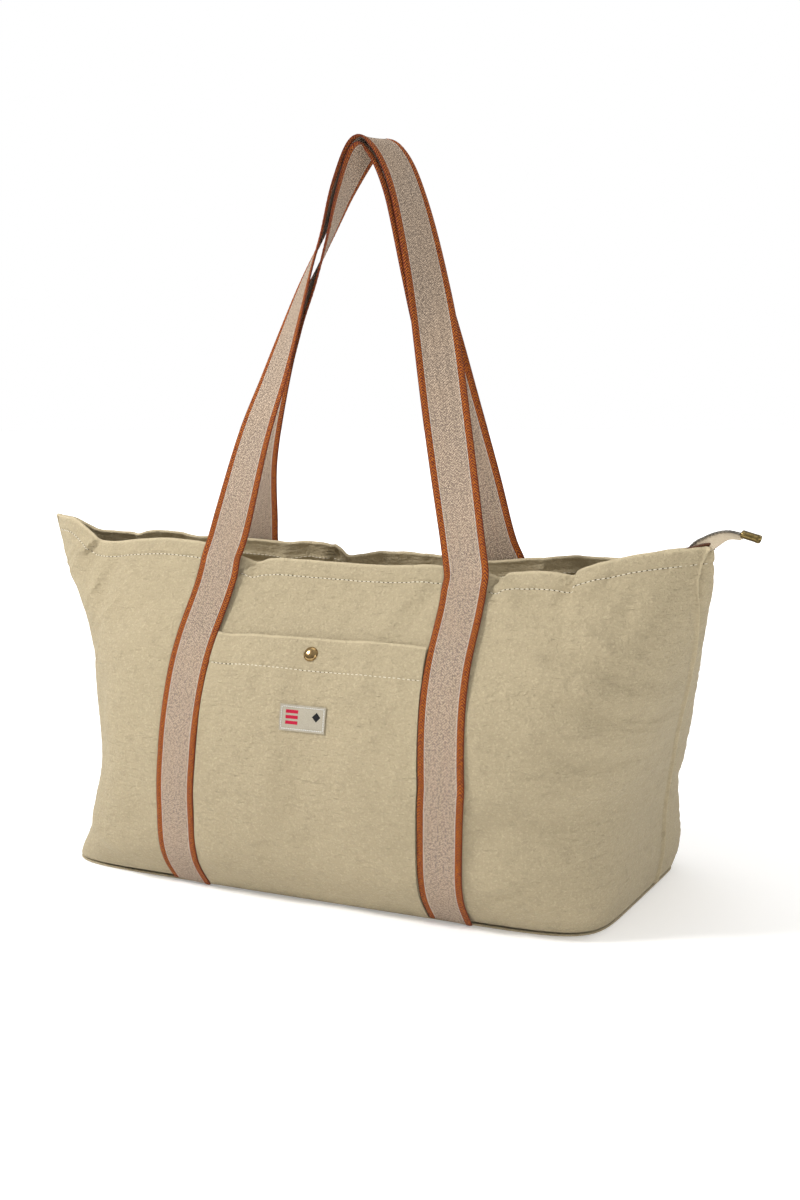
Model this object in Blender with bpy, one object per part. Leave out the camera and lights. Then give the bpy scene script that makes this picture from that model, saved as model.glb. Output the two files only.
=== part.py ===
"""Soft fabric tote with a recessed zip, a front pocket and two long webbing handles.

Frame: metres, +Z up.  The origin is the middle of the base's underside, -Y is the pocket
side and +X is the side where the zip's tail comes out.  Every sewn piece is a closed slab
laid on the same bulging wall, so the wall's sizes below drive nearly everything.
"""
import math

import bmesh
import bpy
import numpy as np

# ---- the bulging wall of the bag ------------------------------------------------------
GAP = 0.0003                # room left between neighbouring pieces
WALL_ROWS = 18              # rows of points from the base to the rim
WALL_COLUMNS = 33           # columns of points from seam to seam
FABRIC = 0.0020             # thickness of the canvas
BASE_TOP = 0.0023           # walls start here, just above the base panel
RIM_HEIGHT = 0.285          # rim height at the middle of the mouth
TIP_RISE = 0.024            # how far the rim climbs to each corner
RIM_HALF_WIDTH = 0.3073     # from the middle of the rim to the corners, where the rims meet
RIM_MIDDLE_X = 0.0093

# Sections of the wall, from the base (0) to the rim (1).
LEVELS = (0.0, 0.08, 0.25, 0.50, 0.75, 0.90, 1.0)
HALF_WIDTH = (0.2545, 0.250, 0.2485, 0.2575, 0.2795, 0.3015, RIM_HALF_WIDTH)
MIDDLE_X = (-0.0115, -0.0015, 0.0035, 0.015, 0.019, 0.012, RIM_MIDDLE_X)
SEAM_Y = (0.045, 0.040, 0.030, 0.0, -0.030, -0.055, -0.069)
FRONT_Y = (-0.118, -0.140, -0.160, -0.168, -0.148, -0.1195, -0.105)
REAR_Y = (0.118, 0.132, 0.145, 0.125, 0.045, -0.014, -0.030)
END_POWER = (10.0, 7.5, 5.2, 4.5, 5.0, 5.6, 6.0)
ROUNDNESS = (9.0, 6.5, 3.7, 3.0, 2.0, 1.3, 1.0)
FRONT, REAR = -1, 1

# ---- webbing ----------------------------------------------------------------------------
WEBBING_WIDTH = 0.038
WEBBING_THICK = 0.0020
STRAP_LIFT = 0.0010         # room between the wall and the strap sewn on it
STRAP_BEND = 0.43           # level of the middle strap centre below
HINGE_LEVEL = (WALL_ROWS - 2) / (WALL_ROWS - 1)     # the handles leave the wall at the hem
# Strap centres at the base, at the bend level and at the hinge.
STRAP_X = {("front", "left"): (-0.1229, -0.1050, -0.0945),
           ("front", "right"): (0.1229, 0.1350, 0.1300),
           ("rear", "left"): (-0.1229, -0.1120, -0.1070),
           ("rear", "right"): (0.1229, 0.1320, 0.1290)}

# ---- pocket, snap and label -------------------------------------------------------------
POCKET_HEM_BOTTOM = 0.2028
POCKET_TOP = 0.2262
POCKET_THICK = 0.0016
POCKET_ROOM = 0.0011        # room between the wall and the pocket's edges
POCKET_CROWN = 0.0025       # extra room at the pocket's middle
POCKET_SWELL = 0.0070       # extra room on each side of the middle
HEM_SPLIT = 0.001           # half the split, in levels, between the pocket and its hem
SNAP_AT = (0.0138, 0.2147)
LABEL_SIZE = (0.040, 0.020)
LABEL_AT = (0.0155, 0.1667)

# ---- zip --------------------------------------------------------------------------------
ZIP_Y = -0.067
ZIP_Z = 0.2630
FLAP_END_X = 0.225
FLAP_HINGE = 0.0415         # distance from the zip's middle to each flap's hinge line
TAPE_REACH = 0.0142
TOOTH_PITCH = 0.006
TEETH_THICK = 0.0024
TAPE_THICK = 0.0010
ZIP_CLOTH_THICK = 0.0014
TENT_TAPE_THICK = 0.0011    # tape of the bent runs at the tail
TENT_TEETH = (0.0005, 0.0024, 0.0022)   # bottom, top and half width of the bent runs' teeth
SLIDER_X = -0.2445
CHAIN_START_X = -0.262
TAIL_HINGE = (0.2985, 0.3088)   # X and Z of the bend over the bag's corner


def slopes(values):
    """Gentle end and middle slopes for a smooth curve through the sections."""
    return np.gradient(np.array(values, dtype=float), np.array(LEVELS))


def at_level(values, level):
    """Smooth value of a section property at a level between 0 and 1."""
    index = min(max(np.searchsorted(LEVELS, level) - 1, 0), len(LEVELS) - 2)
    low, high = LEVELS[index], LEVELS[index + 1]
    span = high - low
    t = (level - low) / span
    slope = slopes(values)
    return ((2 * t**3 - 3 * t**2 + 1) * values[index] + (t**3 - 2 * t**2 + t) * span * slope[index]
            + (3 * t**2 - 2 * t**3) * values[index + 1] + (t**3 - t**2) * span * slope[index + 1])


def rim_height(x):
    return RIM_HEIGHT + TIP_RISE * min(abs(x - RIM_MIDDLE_X) / RIM_HALF_WIDTH, 1.0) ** 6


def level_at_height(x, z):
    return (z - BASE_TOP) / (rim_height(x) - BASE_TOP)


def wall_point(side, x, level):
    """Point of the wall's outer face at X, on the front or the rear panel."""
    half_width = at_level(HALF_WIDTH, level)
    fraction = min(abs(x - at_level(MIDDLE_X, level)) / half_width, 1.0)
    seam = at_level(SEAM_Y, level)
    face = at_level(FRONT_Y if side == FRONT else REAR_Y, level)
    crown = (1.0 - fraction ** at_level(END_POWER, level)) ** (1.0 / at_level(ROUNDNESS, level))
    z = BASE_TOP + level * (rim_height(x) - BASE_TOP)
    return np.array((x, seam + (face - seam) * crown, z))


def wall_normal(side, x, level):
    """Outward normal of the wall, from short steps along X and up the wall."""
    step = 0.002
    across = wall_point(side, x + step, level) - wall_point(side, x - step, level)
    low, high = max(level - 0.01, 0.0), min(level + 0.01, 1.0)
    upward = wall_point(side, x, high) - wall_point(side, x, low)
    normal = np.cross(across, upward) * (-side)
    return normal / np.linalg.norm(normal)


def lifted(side, x, level, lift):
    return wall_point(side, x, level) + lift * wall_normal(side, x, level)


# ---- building blocks --------------------------------------------------------------------
def material(name, colour, roughness, metallic=0.0):
    made = bpy.data.materials.new(name)
    made.use_nodes = True
    shader = made.node_tree.nodes["Principled BSDF"]
    shader.inputs["Base Color"].default_value = (*colour, 1.0)
    shader.inputs["Roughness"].default_value = roughness
    shader.inputs["Metallic"].default_value = metallic
    return made


def add_object(name, points, faces, look, origin=(0.0, 0.0, 0.0), smooth_angle=None):
    """One closed mesh whose origin is put where the piece turns or slides."""
    mesh = bpy.data.meshes.new(name)
    placed = np.array(points, dtype=float) - np.array(origin)
    mesh.from_pydata([tuple(p) for p in placed], [], faces)
    work = bmesh.new()
    work.from_mesh(mesh)
    bmesh.ops.recalc_face_normals(work, faces=work.faces)
    work.to_mesh(mesh)
    work.free()
    if smooth_angle is not None:
        mesh.shade_smooth()
        mesh.set_sharp_from_angle(angle=math.radians(smooth_angle))
    mesh.materials.append(look)
    made = bpy.data.objects.new(name, mesh)
    made.location = origin
    bpy.context.scene.collection.objects.link(made)
    return made


def slab(name, outer, inner, look, origin=(0.0, 0.0, 0.0)):
    """Closed slab between two grids of points with the same rows and columns."""
    outer, inner = np.array(outer), np.array(inner)
    rows, columns = outer.shape[:2]
    points = np.concatenate([outer.reshape(-1, 3), inner.reshape(-1, 3)])
    shift = rows * columns
    faces = []
    for i in range(rows - 1):
        for j in range(columns - 1):
            a = i * columns + j
            b, c, d = a + 1, a + columns + 1, a + columns
            faces += [(a, b, c, d), (a + shift, d + shift, c + shift, b + shift)]
    edge = [j for j in range(columns)]
    edge += [i * columns + columns - 1 for i in range(1, rows)]
    edge += [(rows - 1) * columns + j for j in range(columns - 2, -1, -1)]
    edge += [i * columns for i in range(rows - 2, 0, -1)]
    for here, there in zip(edge, edge[1:] + edge[:1]):
        faces.append((here, there, there + shift, here + shift))
    return add_object(name, points, faces, look, origin, smooth_angle=40)


def prism(name, outline, low, high, look, plane="XY", origin=(0.0, 0.0, 0.0), centre=(0.0, 0.0)):
    """Closed prism: an outline in the XY or the XZ plane, extruded along the third axis."""
    count = len(outline)
    points = []
    for level in (low, high):
        for first, second in outline:
            a, b = first + centre[0], second + centre[1]
            points.append((a, b, level) if plane == "XY" else (a, level, b))
    faces = [tuple(range(count)), tuple(range(2 * count - 1, count - 1, -1))]
    for i in range(count):
        j = (i + 1) % count
        faces.append((i, j, j + count, i + count))
    return add_object(name, points, faces, look, origin)


def combine(body, tool, operation="DIFFERENCE"):
    """Join a hidden helper solid to a piece, or cut it out of the piece."""
    tool.hide_render = True
    tool.display_type = "WIRE"
    change = body.modifiers.new(tool.name, "BOOLEAN")
    change.operation = operation
    change.solver = "EXACT"
    change.object = tool


def turned(name, profile, centre, axis, look, segments=24, origin=(0.0, 0.0, 0.0)):
    """Solid turned from a closed profile of (radius, height) points about an axis."""
    axis = np.array(axis) / np.linalg.norm(axis)
    side = np.cross(axis, (1.0, 0.0, 0.0))
    side = side / np.linalg.norm(side)
    other = np.cross(axis, side)
    points, rings = [], []
    for radius, height in profile:
        middle = np.array(centre) + axis * height
        if radius == 0.0:
            rings.append([len(points)] * segments)
            points.append(middle)
            continue
        rings.append(list(range(len(points), len(points) + segments)))
        for k in range(segments):
            turn = 2 * math.pi * k / segments
            points.append(middle + radius * (math.cos(turn) * side + math.sin(turn) * other))
    faces = []
    for here, there in zip(rings, rings[1:] + rings[:1]):
        for k in range(segments):
            n = (k + 1) % segments
            corners = [here[k], here[n], there[n], there[k]]
            face = list(dict.fromkeys(corners))
            if len(face) > 2:
                faces.append(face)
    return add_object(name, points, faces, look, origin, smooth_angle=30)


def wall_patch(name, side, x_range, level_range, lifts, look, columns, rows, origin=(0.0, 0.0, 0.0)):
    """Slab laid on the wall. x_range(level), and lifts(x, level) give its sides and its two faces."""
    grids = ([], [])
    for level in np.linspace(*level_range, rows):
        left, right = x_range(level)
        line = np.linspace(left, right, columns)
        for grid, which in zip(grids, (1, 0)):
            grid.append([lifted(side, x, level, lifts(x, level)[which]) for x in line])
    return slab(name, *grids, look, origin)


# ---- walls and base ---------------------------------------------------------------------
def panel_columns(side, level, count):
    """Wall points from seam to seam, evenly spaced round the section."""
    seam_room = 0.0002 + 0.0028 * max(level - 0.70, 0.0) / 0.30
    depth = abs(at_level(FRONT_Y if side == FRONT else REAR_Y, level) - at_level(SEAM_Y, level))
    flat = at_level(ROUNDNESS, level)
    reach = (1.0 - (seam_room / depth) ** flat) ** (1.0 / at_level(END_POWER, level))
    steps = np.linspace(-1.0, 1.0, 241)
    fractions = np.sign(steps) * reach * (1.0 - (1.0 - abs(steps)) ** 3.5)
    middle, half = at_level(MIDDLE_X, level), at_level(HALF_WIDTH, level)
    line = np.array([wall_point(side, middle + half * f, level) for f in fractions])
    travelled = np.concatenate([[0.0], np.cumsum(np.linalg.norm(np.diff(line, axis=0), axis=1))])
    wanted = np.linspace(0.0, travelled[-1], count)
    return np.array([[np.interp(w, travelled, line[:, k]) for k in range(3)] for w in wanted])


def inner_columns(points, above, below):
    """The same section moved inward by the fabric's thickness, along the surface's normals."""
    inner = []
    for j, point in enumerate(points):
        across = points[min(j + 1, len(points) - 1)] - points[max(j - 1, 0)]
        normal = np.cross(across, above[j] - below[j])
        inner.append(point - FABRIC * normal / np.linalg.norm(normal))
    return np.array(inner)


def wall_panel(name, side, look):
    outer = [panel_columns(side, level, WALL_COLUMNS)
             for level in np.linspace(0.0, 1.0, WALL_ROWS)]
    inner = []
    for i, line in enumerate(outer):
        above, below = outer[min(i + 1, WALL_ROWS - 1)], outer[max(i - 1, 0)]
        moved = inner_columns(line, above, below) if side == FRONT else \
            inner_columns(line, below, above)
        seam = at_level(SEAM_Y, i / (WALL_ROWS - 1)) + side * GAP / 2
        moved[:, 1] = np.minimum(moved[:, 1], seam) if side == FRONT else \
            np.maximum(moved[:, 1], seam)
        moved[:, 2] = np.maximum(moved[:, 2], BASE_TOP)
        inner.append(moved)
    return slab(name, outer, inner, look)


def base_panel(look):
    front = panel_columns(FRONT, 0.0, WALL_COLUMNS)
    rear = panel_columns(REAR, 0.0, WALL_COLUMNS)[::-1]
    outline = [(p[0], p[1]) for p in front] + [(p[0], p[1]) for p in rear]
    return prism("base_panel", outline, 0.0, BASE_TOP - GAP, look)


def hem_facing(name, side, look):
    """Turned-down layer of the hem, inside the rim."""
    def reach(level):
        return -0.250, 0.250

    def lifts(x, level):
        return -FABRIC - 0.0022, -FABRIC - 0.0010

    return wall_patch(name, side, reach, (0.935, 0.998), lifts, look, columns=23, rows=3)


# ---- straps and handles -----------------------------------------------------------------
def strap_x(side_name, hand, level):
    return float(np.interp(level, (0.0, STRAP_BEND, HINGE_LEVEL), STRAP_X[side_name, hand]))


def strap(side_name, hand, look):
    """Webbing sewn flat to the wall, from the base to the hem."""
    side = FRONT if side_name == "front" else REAR

    def reach(level):
        middle = strap_x(side_name, hand, level)
        return middle - WEBBING_WIDTH / 2, middle + WEBBING_WIDTH / 2

    def lifts(x, level):
        return STRAP_LIFT, STRAP_LIFT + WEBBING_THICK

    name = f"{side_name}_strap_{hand}"
    return wall_patch(name, side, reach, (0.0, HINGE_LEVEL), lifts, look, columns=4,
                      rows=WALL_ROWS - 1)


def smooth_line(points, count):
    """Evenly spaced points of a smooth curve through a few given points."""
    points = np.array(points, dtype=float)
    padded = np.vstack([2 * points[0] - points[1], points, 2 * points[-1] - points[-2]])
    fine = []
    for i in range(1, len(padded) - 2):
        a, b, c, d = padded[i - 1:i + 3]
        for t in np.linspace(0.0, 1.0, 24, endpoint=False):
            fine.append(0.5 * (2 * b + (c - a) * t + (2 * a - 5 * b + 4 * c - d) * t**2
                               + (3 * b - a - 3 * c + d) * t**3))
    fine = np.vstack([fine, points[-1]])
    travelled = np.concatenate([[0.0], np.cumsum(np.linalg.norm(np.diff(fine, axis=0), axis=1))])
    wanted = np.linspace(0.0, travelled[-1], count)
    return np.stack([np.interp(wanted, travelled, fine[:, k]) for k in range(3)], axis=1)


# Handle centre lines: up the left leg, over the top and down the right leg.  The rear
# handle lies just under the front one at the top, and their legs part lower down.
LOOP_POINTS = {
    "front": ((-0.0900, -0.1045, 0.305), (-0.0745, -0.0890, 0.383), (-0.0580, -0.0795, 0.437),
              (-0.0370, -0.0660, 0.512), (-0.0235, -0.0600, 0.550), (-0.0100, -0.0520, 0.593),
              (0.0090, -0.0450, 0.6265), (0.0300, -0.0460, 0.6215), (0.0530, -0.0535, 0.582),
              (0.0800, -0.0685, 0.497), (0.1040, -0.0870, 0.394), (0.1250, -0.1045, 0.305)),
    "rear": ((-0.1050, -0.0290, 0.305), (-0.0990, -0.0350, 0.365), (-0.0770, -0.0440, 0.432),
             (-0.0545, -0.0515, 0.478), (-0.0330, -0.0590, 0.511), (-0.0188, -0.0575, 0.546),
             (-0.0055, -0.0505, 0.588), (0.0105, -0.0455, 0.6205), (0.0270, -0.0465, 0.6160),
             (0.0480, -0.0540, 0.580), (0.0750, -0.0635, 0.500), (0.0910, -0.0480, 0.424),
             (0.1080, -0.0350, 0.353), (0.1215, -0.0290, 0.300)),
}
# How far the band has turned about the upright, at fractions of the loop's length.
TWIST_AT = (0.0, 0.05, 0.15, 0.23, 0.31, 0.38, 0.44, 0.50, 0.57, 0.67, 0.79, 0.94, 1.0)
TWIST = (0.0, 0.0, -15.0, -28.0, -46.0, -66.0, -86.0, -111.0, -114.0, -130.0, -158.0, -180.0,
         -180.0)


def handle_hinge(side_name):
    """Middle of the hinge line, on the outer face of the strap."""
    side = FRONT if side_name == "front" else REAR
    return lifted(side, 0.114, HINGE_LEVEL, STRAP_LIFT + WEBBING_THICK + GAP)


def foot_points(side_name, hand):
    """Where a handle's end lies on the hem, from the hinge to the rim."""
    side = FRONT if side_name == "front" else REAR
    x = strap_x(side_name, hand, HINGE_LEVEL)
    return [tuple(lifted(side, x, level, STRAP_LIFT + WEBBING_THICK / 2 + room))
            for level, room in ((HINGE_LEVEL + 0.0060, 0.0006), (0.985, 0.0010))]


def handle_loop(side_name, look, count=49):
    feet = foot_points(side_name, "left"), foot_points(side_name, "right")[::-1]
    line = smooth_line([*feet[0], *LOOP_POINTS[side_name], *feet[1]], count)
    turns = np.radians(np.interp(np.linspace(0.0, 1.0, count), TWIST_AT, TWIST))
    outer, inner = [], []
    for i, point in enumerate(line):
        along = line[min(i + 1, count - 1)] - line[max(i - 1, 0)]
        along /= np.linalg.norm(along)
        across = np.array((math.cos(turns[i]), math.sin(turns[i]), 0.0))
        across -= along * np.dot(across, along)
        across /= np.linalg.norm(across)
        facing = np.cross(across, along)
        edges = [point + across * WEBBING_WIDTH * f for f in (-0.5, 0.0, 0.5)]
        outer.append([p + facing * WEBBING_THICK / 2 for p in edges])
        inner.append([p - facing * WEBBING_THICK / 2 for p in edges])
    return slab(f"{side_name}_handle_loop", outer, inner, look, origin=handle_hinge(side_name))


# ---- pocket, snap and label -------------------------------------------------------------
def pocket_reach(level):
    """The pocket fills the wall between the two front straps."""
    room = WEBBING_WIDTH / 2 + 0.0010
    return strap_x("front", "left", level) + room, strap_x("front", "right", level) - room


def pocket_lift(x, level):
    """The pocket lies on the wall at its edges and at the snap, and swells between them."""
    left, right = pocket_reach(level)
    place = 2.0 * (x - left) / (right - left) - 1.0
    across = math.cos(0.5 * math.pi * place) ** 2
    swell = math.sin(math.pi * place) ** 2
    mouth_level = level_at_height(0.0, POCKET_TOP)
    rise = math.sin(0.5 * math.pi * min(level / mouth_level, 1.0)) ** 2
    return POCKET_ROOM + (POCKET_CROWN * across + POCKET_SWELL * swell) * rise


def pocket_lifts(x, level):
    low = pocket_lift(x, level)
    return low, low + POCKET_THICK


def pocket_pieces(look):
    low = level_at_height(0.0, POCKET_HEM_BOTTOM)
    high = level_at_height(0.0, POCKET_TOP)
    wall_patch("pocket_panel", FRONT, pocket_reach, (0.0, low - HEM_SPLIT), pocket_lifts, look,
               columns=17, rows=12)
    wall_patch("pocket_hem", FRONT, pocket_reach, (low + HEM_SPLIT, high), pocket_lifts, look,
               columns=17, rows=4, origin=pocket_hinge())


def pocket_hinge():
    level = level_at_height(0.0, POCKET_HEM_BOTTOM)
    return lifted(FRONT, 0.0, level, POCKET_SWELL + 0.0030)


def snap_fastener(look):
    snap_x, snap_z = SNAP_AT
    level = level_at_height(snap_x, snap_z)
    wall = wall_point(FRONT, snap_x, level)
    out = wall_normal(FRONT, snap_x, level)
    hem_inner, hem_outer = pocket_lifts(snap_x, level)
    dome = [(0.0, 0.0)] + [(0.0063 * math.cos(a), 0.0006 + 0.0019 * math.sin(a))
                           for a in np.radians((0, 25, 50, 70))] + [(0.0, 0.0025)]
    dome.insert(1, (0.0063, 0.0))
    turned("snap_cap", dome, wall + out * (hem_outer + 0.0010), out, look, origin=pocket_hinge())
    socket = ((0.0029, 0.0), (0.0052, 0.0), (0.0052, 0.0009), (0.0029, 0.0009))
    turned("snap_socket", socket, wall + out * (hem_inner - 0.0013), out, look,
           origin=pocket_hinge())
    stud = ((0.0, 0.0), (0.0045, 0.0), (0.0045, 0.0006), (0.0021, 0.0006), (0.0021, 0.0022),
            (0.0, 0.0022))
    turned("snap_stud", stud, wall + out * 0.0004, out, look)
    post = ((0.0, 0.0), (0.0045, 0.0), (0.0045, 0.0008), (0.0, 0.0008))
    turned("snap_post", post, wall - out * (FABRIC + 0.0016), out, look)


def label_patch(look):
    middle_x, middle_z = LABEL_AT
    left, right = middle_x - LABEL_SIZE[0] / 2, middle_x + LABEL_SIZE[0] / 2
    low = level_at_height(middle_x, middle_z - LABEL_SIZE[1] / 2)
    high = level_at_height(middle_x, middle_z + LABEL_SIZE[1] / 2)

    def lifts(x, level):
        top = pocket_lifts(x, level)[1]
        return top + 0.0006, top + 0.0013

    wall_patch("label_patch", FRONT, lambda level: (left, right), (low, high), lifts, look, 9, 4)


# ---- zip --------------------------------------------------------------------------------
def zip_flap(side_name, fabric, tape, metal):
    """Half of the recessed zip panel: fabric strip, tape and a row of teeth, on one hinge."""
    side = FRONT if side_name == "front" else REAR
    origin = (0.0, ZIP_Y + side * FLAP_HINGE, ZIP_Z)

    def strip(node, outline, thickness, look):
        placed = [(x, ZIP_Y + side * y) for x, y in outline]
        prism(node, placed, ZIP_Z - thickness / 2, ZIP_Z + thickness / 2, look, origin=origin)

    end, edge = FLAP_END_X, TAPE_REACH + GAP
    panel = ((-end, edge), (-end, 0.020), (-0.165, FLAP_HINGE), (0.165, FLAP_HINGE),
             (end, 0.020), (end, edge))
    strip(f"zip_panel_{side_name}", panel, ZIP_CLOTH_THICK, fabric)
    strip(f"zip_tape_{side_name}", ((-end, 0.0030), (-end, TAPE_REACH), (end, TAPE_REACH),
                                    (end, 0.0030)), TAPE_THICK, tape)
    shift = TOOTH_PITCH / 2 if side == REAR else 0.0
    comb = [(end, 0.0027), (-end, 0.0027), (-end, 0.0019)]
    for k in range(int(2 * end / TOOTH_PITCH) - 1):
        x = -end + 0.0030 + shift + k * TOOTH_PITCH
        comb += [(x, 0.0019), (x + 0.0003, -0.0013), (x + 0.0019, -0.0013), (x + 0.0022, 0.0019)]
    comb.append((end, 0.0019))
    strip(f"zip_teeth_{side_name}", comb, TEETH_THICK, metal)


def chain_outline(length):
    """Side view of a closed run of teeth: a rail with a notch between neighbours."""
    count = int(length / TOOTH_PITCH)
    pitch = length / count
    top = []
    for k in range(count):
        x = k * pitch
        top += [(x, 0.0), (x + 0.3 * pitch, 0.0), (x + 0.35 * pitch, -0.0006),
                (x + 0.95 * pitch, -0.0006)]
    top.append((length, 0.0))
    return top


def zip_start(tape, metal):
    """Closed end of the zip at the far corner from the tail, where the slider rests."""
    length = -FLAP_END_X - 0.001 - CHAIN_START_X
    low, high = ZIP_Z - TAPE_THICK / 2, ZIP_Z + TAPE_THICK / 2
    for side, name in ((FRONT, "zip_start_tape_front"), (REAR, "zip_start_tape_rear")):
        near, far = ZIP_Y + side * 0.0031, ZIP_Y + side * TAPE_REACH
        prism(name, ((CHAIN_START_X, near), (CHAIN_START_X, far), (-FLAP_END_X - 0.001, far),
                     (-FLAP_END_X - 0.001, near)), low, high, tape)
    half = TEETH_THICK / 2
    rail = [(x + CHAIN_START_X, ZIP_Z + half + z) for x, z in chain_outline(length)]
    rail += [(CHAIN_START_X + length, ZIP_Z - half), (CHAIN_START_X, ZIP_Z - half)]
    prism("zip_start_teeth", rail, ZIP_Y - 0.0027, ZIP_Y + 0.0027, metal, plane="XZ")
    stop = CHAIN_START_X - 0.0040
    prism("zip_end_stop", ((stop, ZIP_Z - 0.0018), (stop + 0.0036, ZIP_Z - 0.0018),
                           (stop + 0.0036, ZIP_Z + 0.0018), (stop, ZIP_Z + 0.0018)),
          ZIP_Y - 0.0040, ZIP_Y + 0.0040, metal, plane="XZ")


def chain_run(prefix, points, spans, drops, tilts, tape, metal, origin):
    """A bent run of closed zip: tape folded like a tent, with the teeth along its ridge."""
    line = smooth_line([(x, ZIP_Y, z) for x, z in points], 9)
    outer, inner, ridge = [], [], []
    for i, point in enumerate(line):
        t = i / 8
        tilt = math.radians(tilts[0] + (tilts[1] - tilts[0]) * t)
        up = np.array((-math.sin(tilt), 0.0, math.cos(tilt)))
        span = spans[0] + (spans[1] - spans[0]) * t
        drop = drops[0] + (drops[1] - drops[0]) * t
        section = ((-span, -drop), (-0.55 * span, -0.45 * drop), (0.0, 0.0),
                   (0.55 * span, -0.45 * drop), (span, -drop))
        outer.append([point + np.array((0.0, y, 0.0)) + up * z for y, z in section])
        inner.append([p - up * TENT_TAPE_THICK for p in outer[-1]])
        ridge.append((point, up))
    slab(f"{prefix}_tape", outer, inner, tape, origin)
    bottom, top, half_width = TENT_TEETH
    upper, lower = ([[p + np.array((0.0, y, 0.0)) + up * height for y in (-half_width, half_width)]
                     for p, up in ridge] for height in (top, bottom))
    slab(f"{prefix}_teeth", upper, lower, metal, origin)


def zip_tail(tape, metal, brass):
    """The zip runs past the bag's corner and ends in a brass cap."""
    hinge_x, hinge_z = TAIL_HINGE
    origin = (hinge_x, ZIP_Y, hinge_z + 0.0024)
    start = FLAP_END_X + 0.001
    chain_run("zip_exit", ((start, ZIP_Z - 0.0005), (0.262, ZIP_Z), (0.281, 0.2830),
                           (hinge_x - 0.0004, hinge_z - 0.0002)),
              (0.0120, 0.0055), (0.0020, 0.0055), (0.0, 30.0), tape, metal, (0.0, 0.0, 0.0))
    chain_run("zip_tail", ((hinge_x + 0.0004, hinge_z + 0.0002), (0.3164, 0.3184),
                           (0.3263, 0.3214), (0.3360, 0.3200)),
              (0.0055, 0.0045), (0.0055, 0.0048), (30.0, -15.0), tape, metal, origin)
    cap = ((0.3368, -0.0055), (0.3380, -0.0062), (0.3500, -0.0048), (0.3518, -0.0036),
           (0.3518, 0.0036), (0.3500, 0.0048), (0.3380, 0.0062), (0.3368, 0.0055))
    prism("zip_end_cap", [(x, ZIP_Y + y) for x, y in cap], 0.3150, 0.3210, brass, origin=origin)


def zip_slider(metal):
    """Slider that straddles the teeth, with a window for the puller's bar."""
    top = ZIP_Z + TEETH_THICK / 2
    section = ((-0.0056, -0.0003), (-0.0044, -0.0003), (-0.0044, 0.0005),
               (0.0044, 0.0005), (0.0044, -0.0003), (0.0056, -0.0003), (0.0056, 0.0019),
               (-0.0056, 0.0019))
    points = []
    for x in (SLIDER_X - 0.007, SLIDER_X + 0.007):
        points += [(x, ZIP_Y + y, top + z) for y, z in section]
    count = len(section)
    faces = [tuple(range(count)), tuple(range(2 * count - 1, count - 1, -1))]
    faces += [(i, (i + 1) % count, (i + 1) % count + count, i + count) for i in range(count)]
    body = add_object("zip_slider_body", points, faces, metal, origin=(SLIDER_X, ZIP_Y, ZIP_Z))
    bridge = prism("bridge_block", ((-0.0045, 0.0015), (0.0045, 0.0015), (0.0045, 0.0050),
                                    (0.0030, 0.0058), (-0.0030, 0.0058), (-0.0045, 0.0050)),
                   ZIP_Y - 0.0011, ZIP_Y + 0.0011, metal, plane="XZ", centre=(SLIDER_X, top))
    window = prism("bridge_window", ((-0.0030, 0.0019), (0.0030, 0.0019), (0.0030, 0.0044),
                                     (-0.0030, 0.0044)),
                   ZIP_Y - 0.003, ZIP_Y + 0.003, metal, plane="XZ", centre=(SLIDER_X, top + 0.0001))
    combine(body, bridge, "UNION")
    combine(body, window)


def zip_puller(metal):
    """Flat pull with a bar that turns in the slider's window, lying towards the closed end."""
    bar_x, bar_z = SLIDER_X, ZIP_Z + TEETH_THICK / 2 + 0.0031
    outer = ((0.0006, -0.0038), (0.0006, 0.0038), (-0.0060, 0.0044), (-0.0200, 0.0050),
             (-0.0225, 0.0030), (-0.0225, -0.0030), (-0.0200, -0.0050), (-0.0060, -0.0044))
    hinge = (bar_x, ZIP_Y, bar_z)
    body = prism("zip_puller", outer, bar_z - 0.00055, bar_z + 0.00055, metal, origin=hinge,
                 centre=(bar_x, ZIP_Y))
    window = ((-0.0006, -0.0016), (-0.0056, -0.0016), (-0.0056, 0.0016), (-0.0006, 0.0016))
    combine(body, prism("puller_window", window, bar_z - 0.003, bar_z + 0.003, metal,
                         centre=(bar_x, ZIP_Y)))


def build():
    for old in list(bpy.data.objects):
        bpy.data.objects.remove(old, do_unlink=True)
    canvas = material("canvas", (0.46, 0.38, 0.27), 0.95)
    webbing = material("webbing", (0.58, 0.42, 0.30), 0.90)
    tape = material("zip_tape", (0.62, 0.52, 0.38), 0.90)
    steel = material("zip_metal", (0.25, 0.23, 0.20), 0.35, 1.0)
    brass = material("brass", (0.45, 0.33, 0.16), 0.35, 1.0)
    label = material("label", (0.75, 0.68, 0.52), 0.90)

    wall_panel("front_panel", FRONT, canvas)
    wall_panel("rear_panel", REAR, canvas)
    base_panel(canvas)
    hem_facing("front_hem_facing", FRONT, canvas)
    hem_facing("rear_hem_facing", REAR, canvas)
    for side_name in ("front", "rear"):
        for hand in ("left", "right"):
            strap(side_name, hand, webbing)
        handle_loop(side_name, webbing)
        zip_flap(side_name, canvas, tape, steel)
    pocket_pieces(canvas)
    snap_fastener(brass)
    label_patch(label)
    zip_start(tape, steel)
    zip_tail(tape, steel, brass)
    zip_slider(steel)
    zip_puller(steel)


build()
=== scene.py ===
"""Looks of a soft zip-top tote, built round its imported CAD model.

Frame: metres, +Z up.  -Y is the pocket side and +X the side of the zip's tail.  All sewn
pieces are laid on one displaced wall, so a fold made there carries the straps, the pocket
and the stitches with it.
"""
import math

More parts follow.
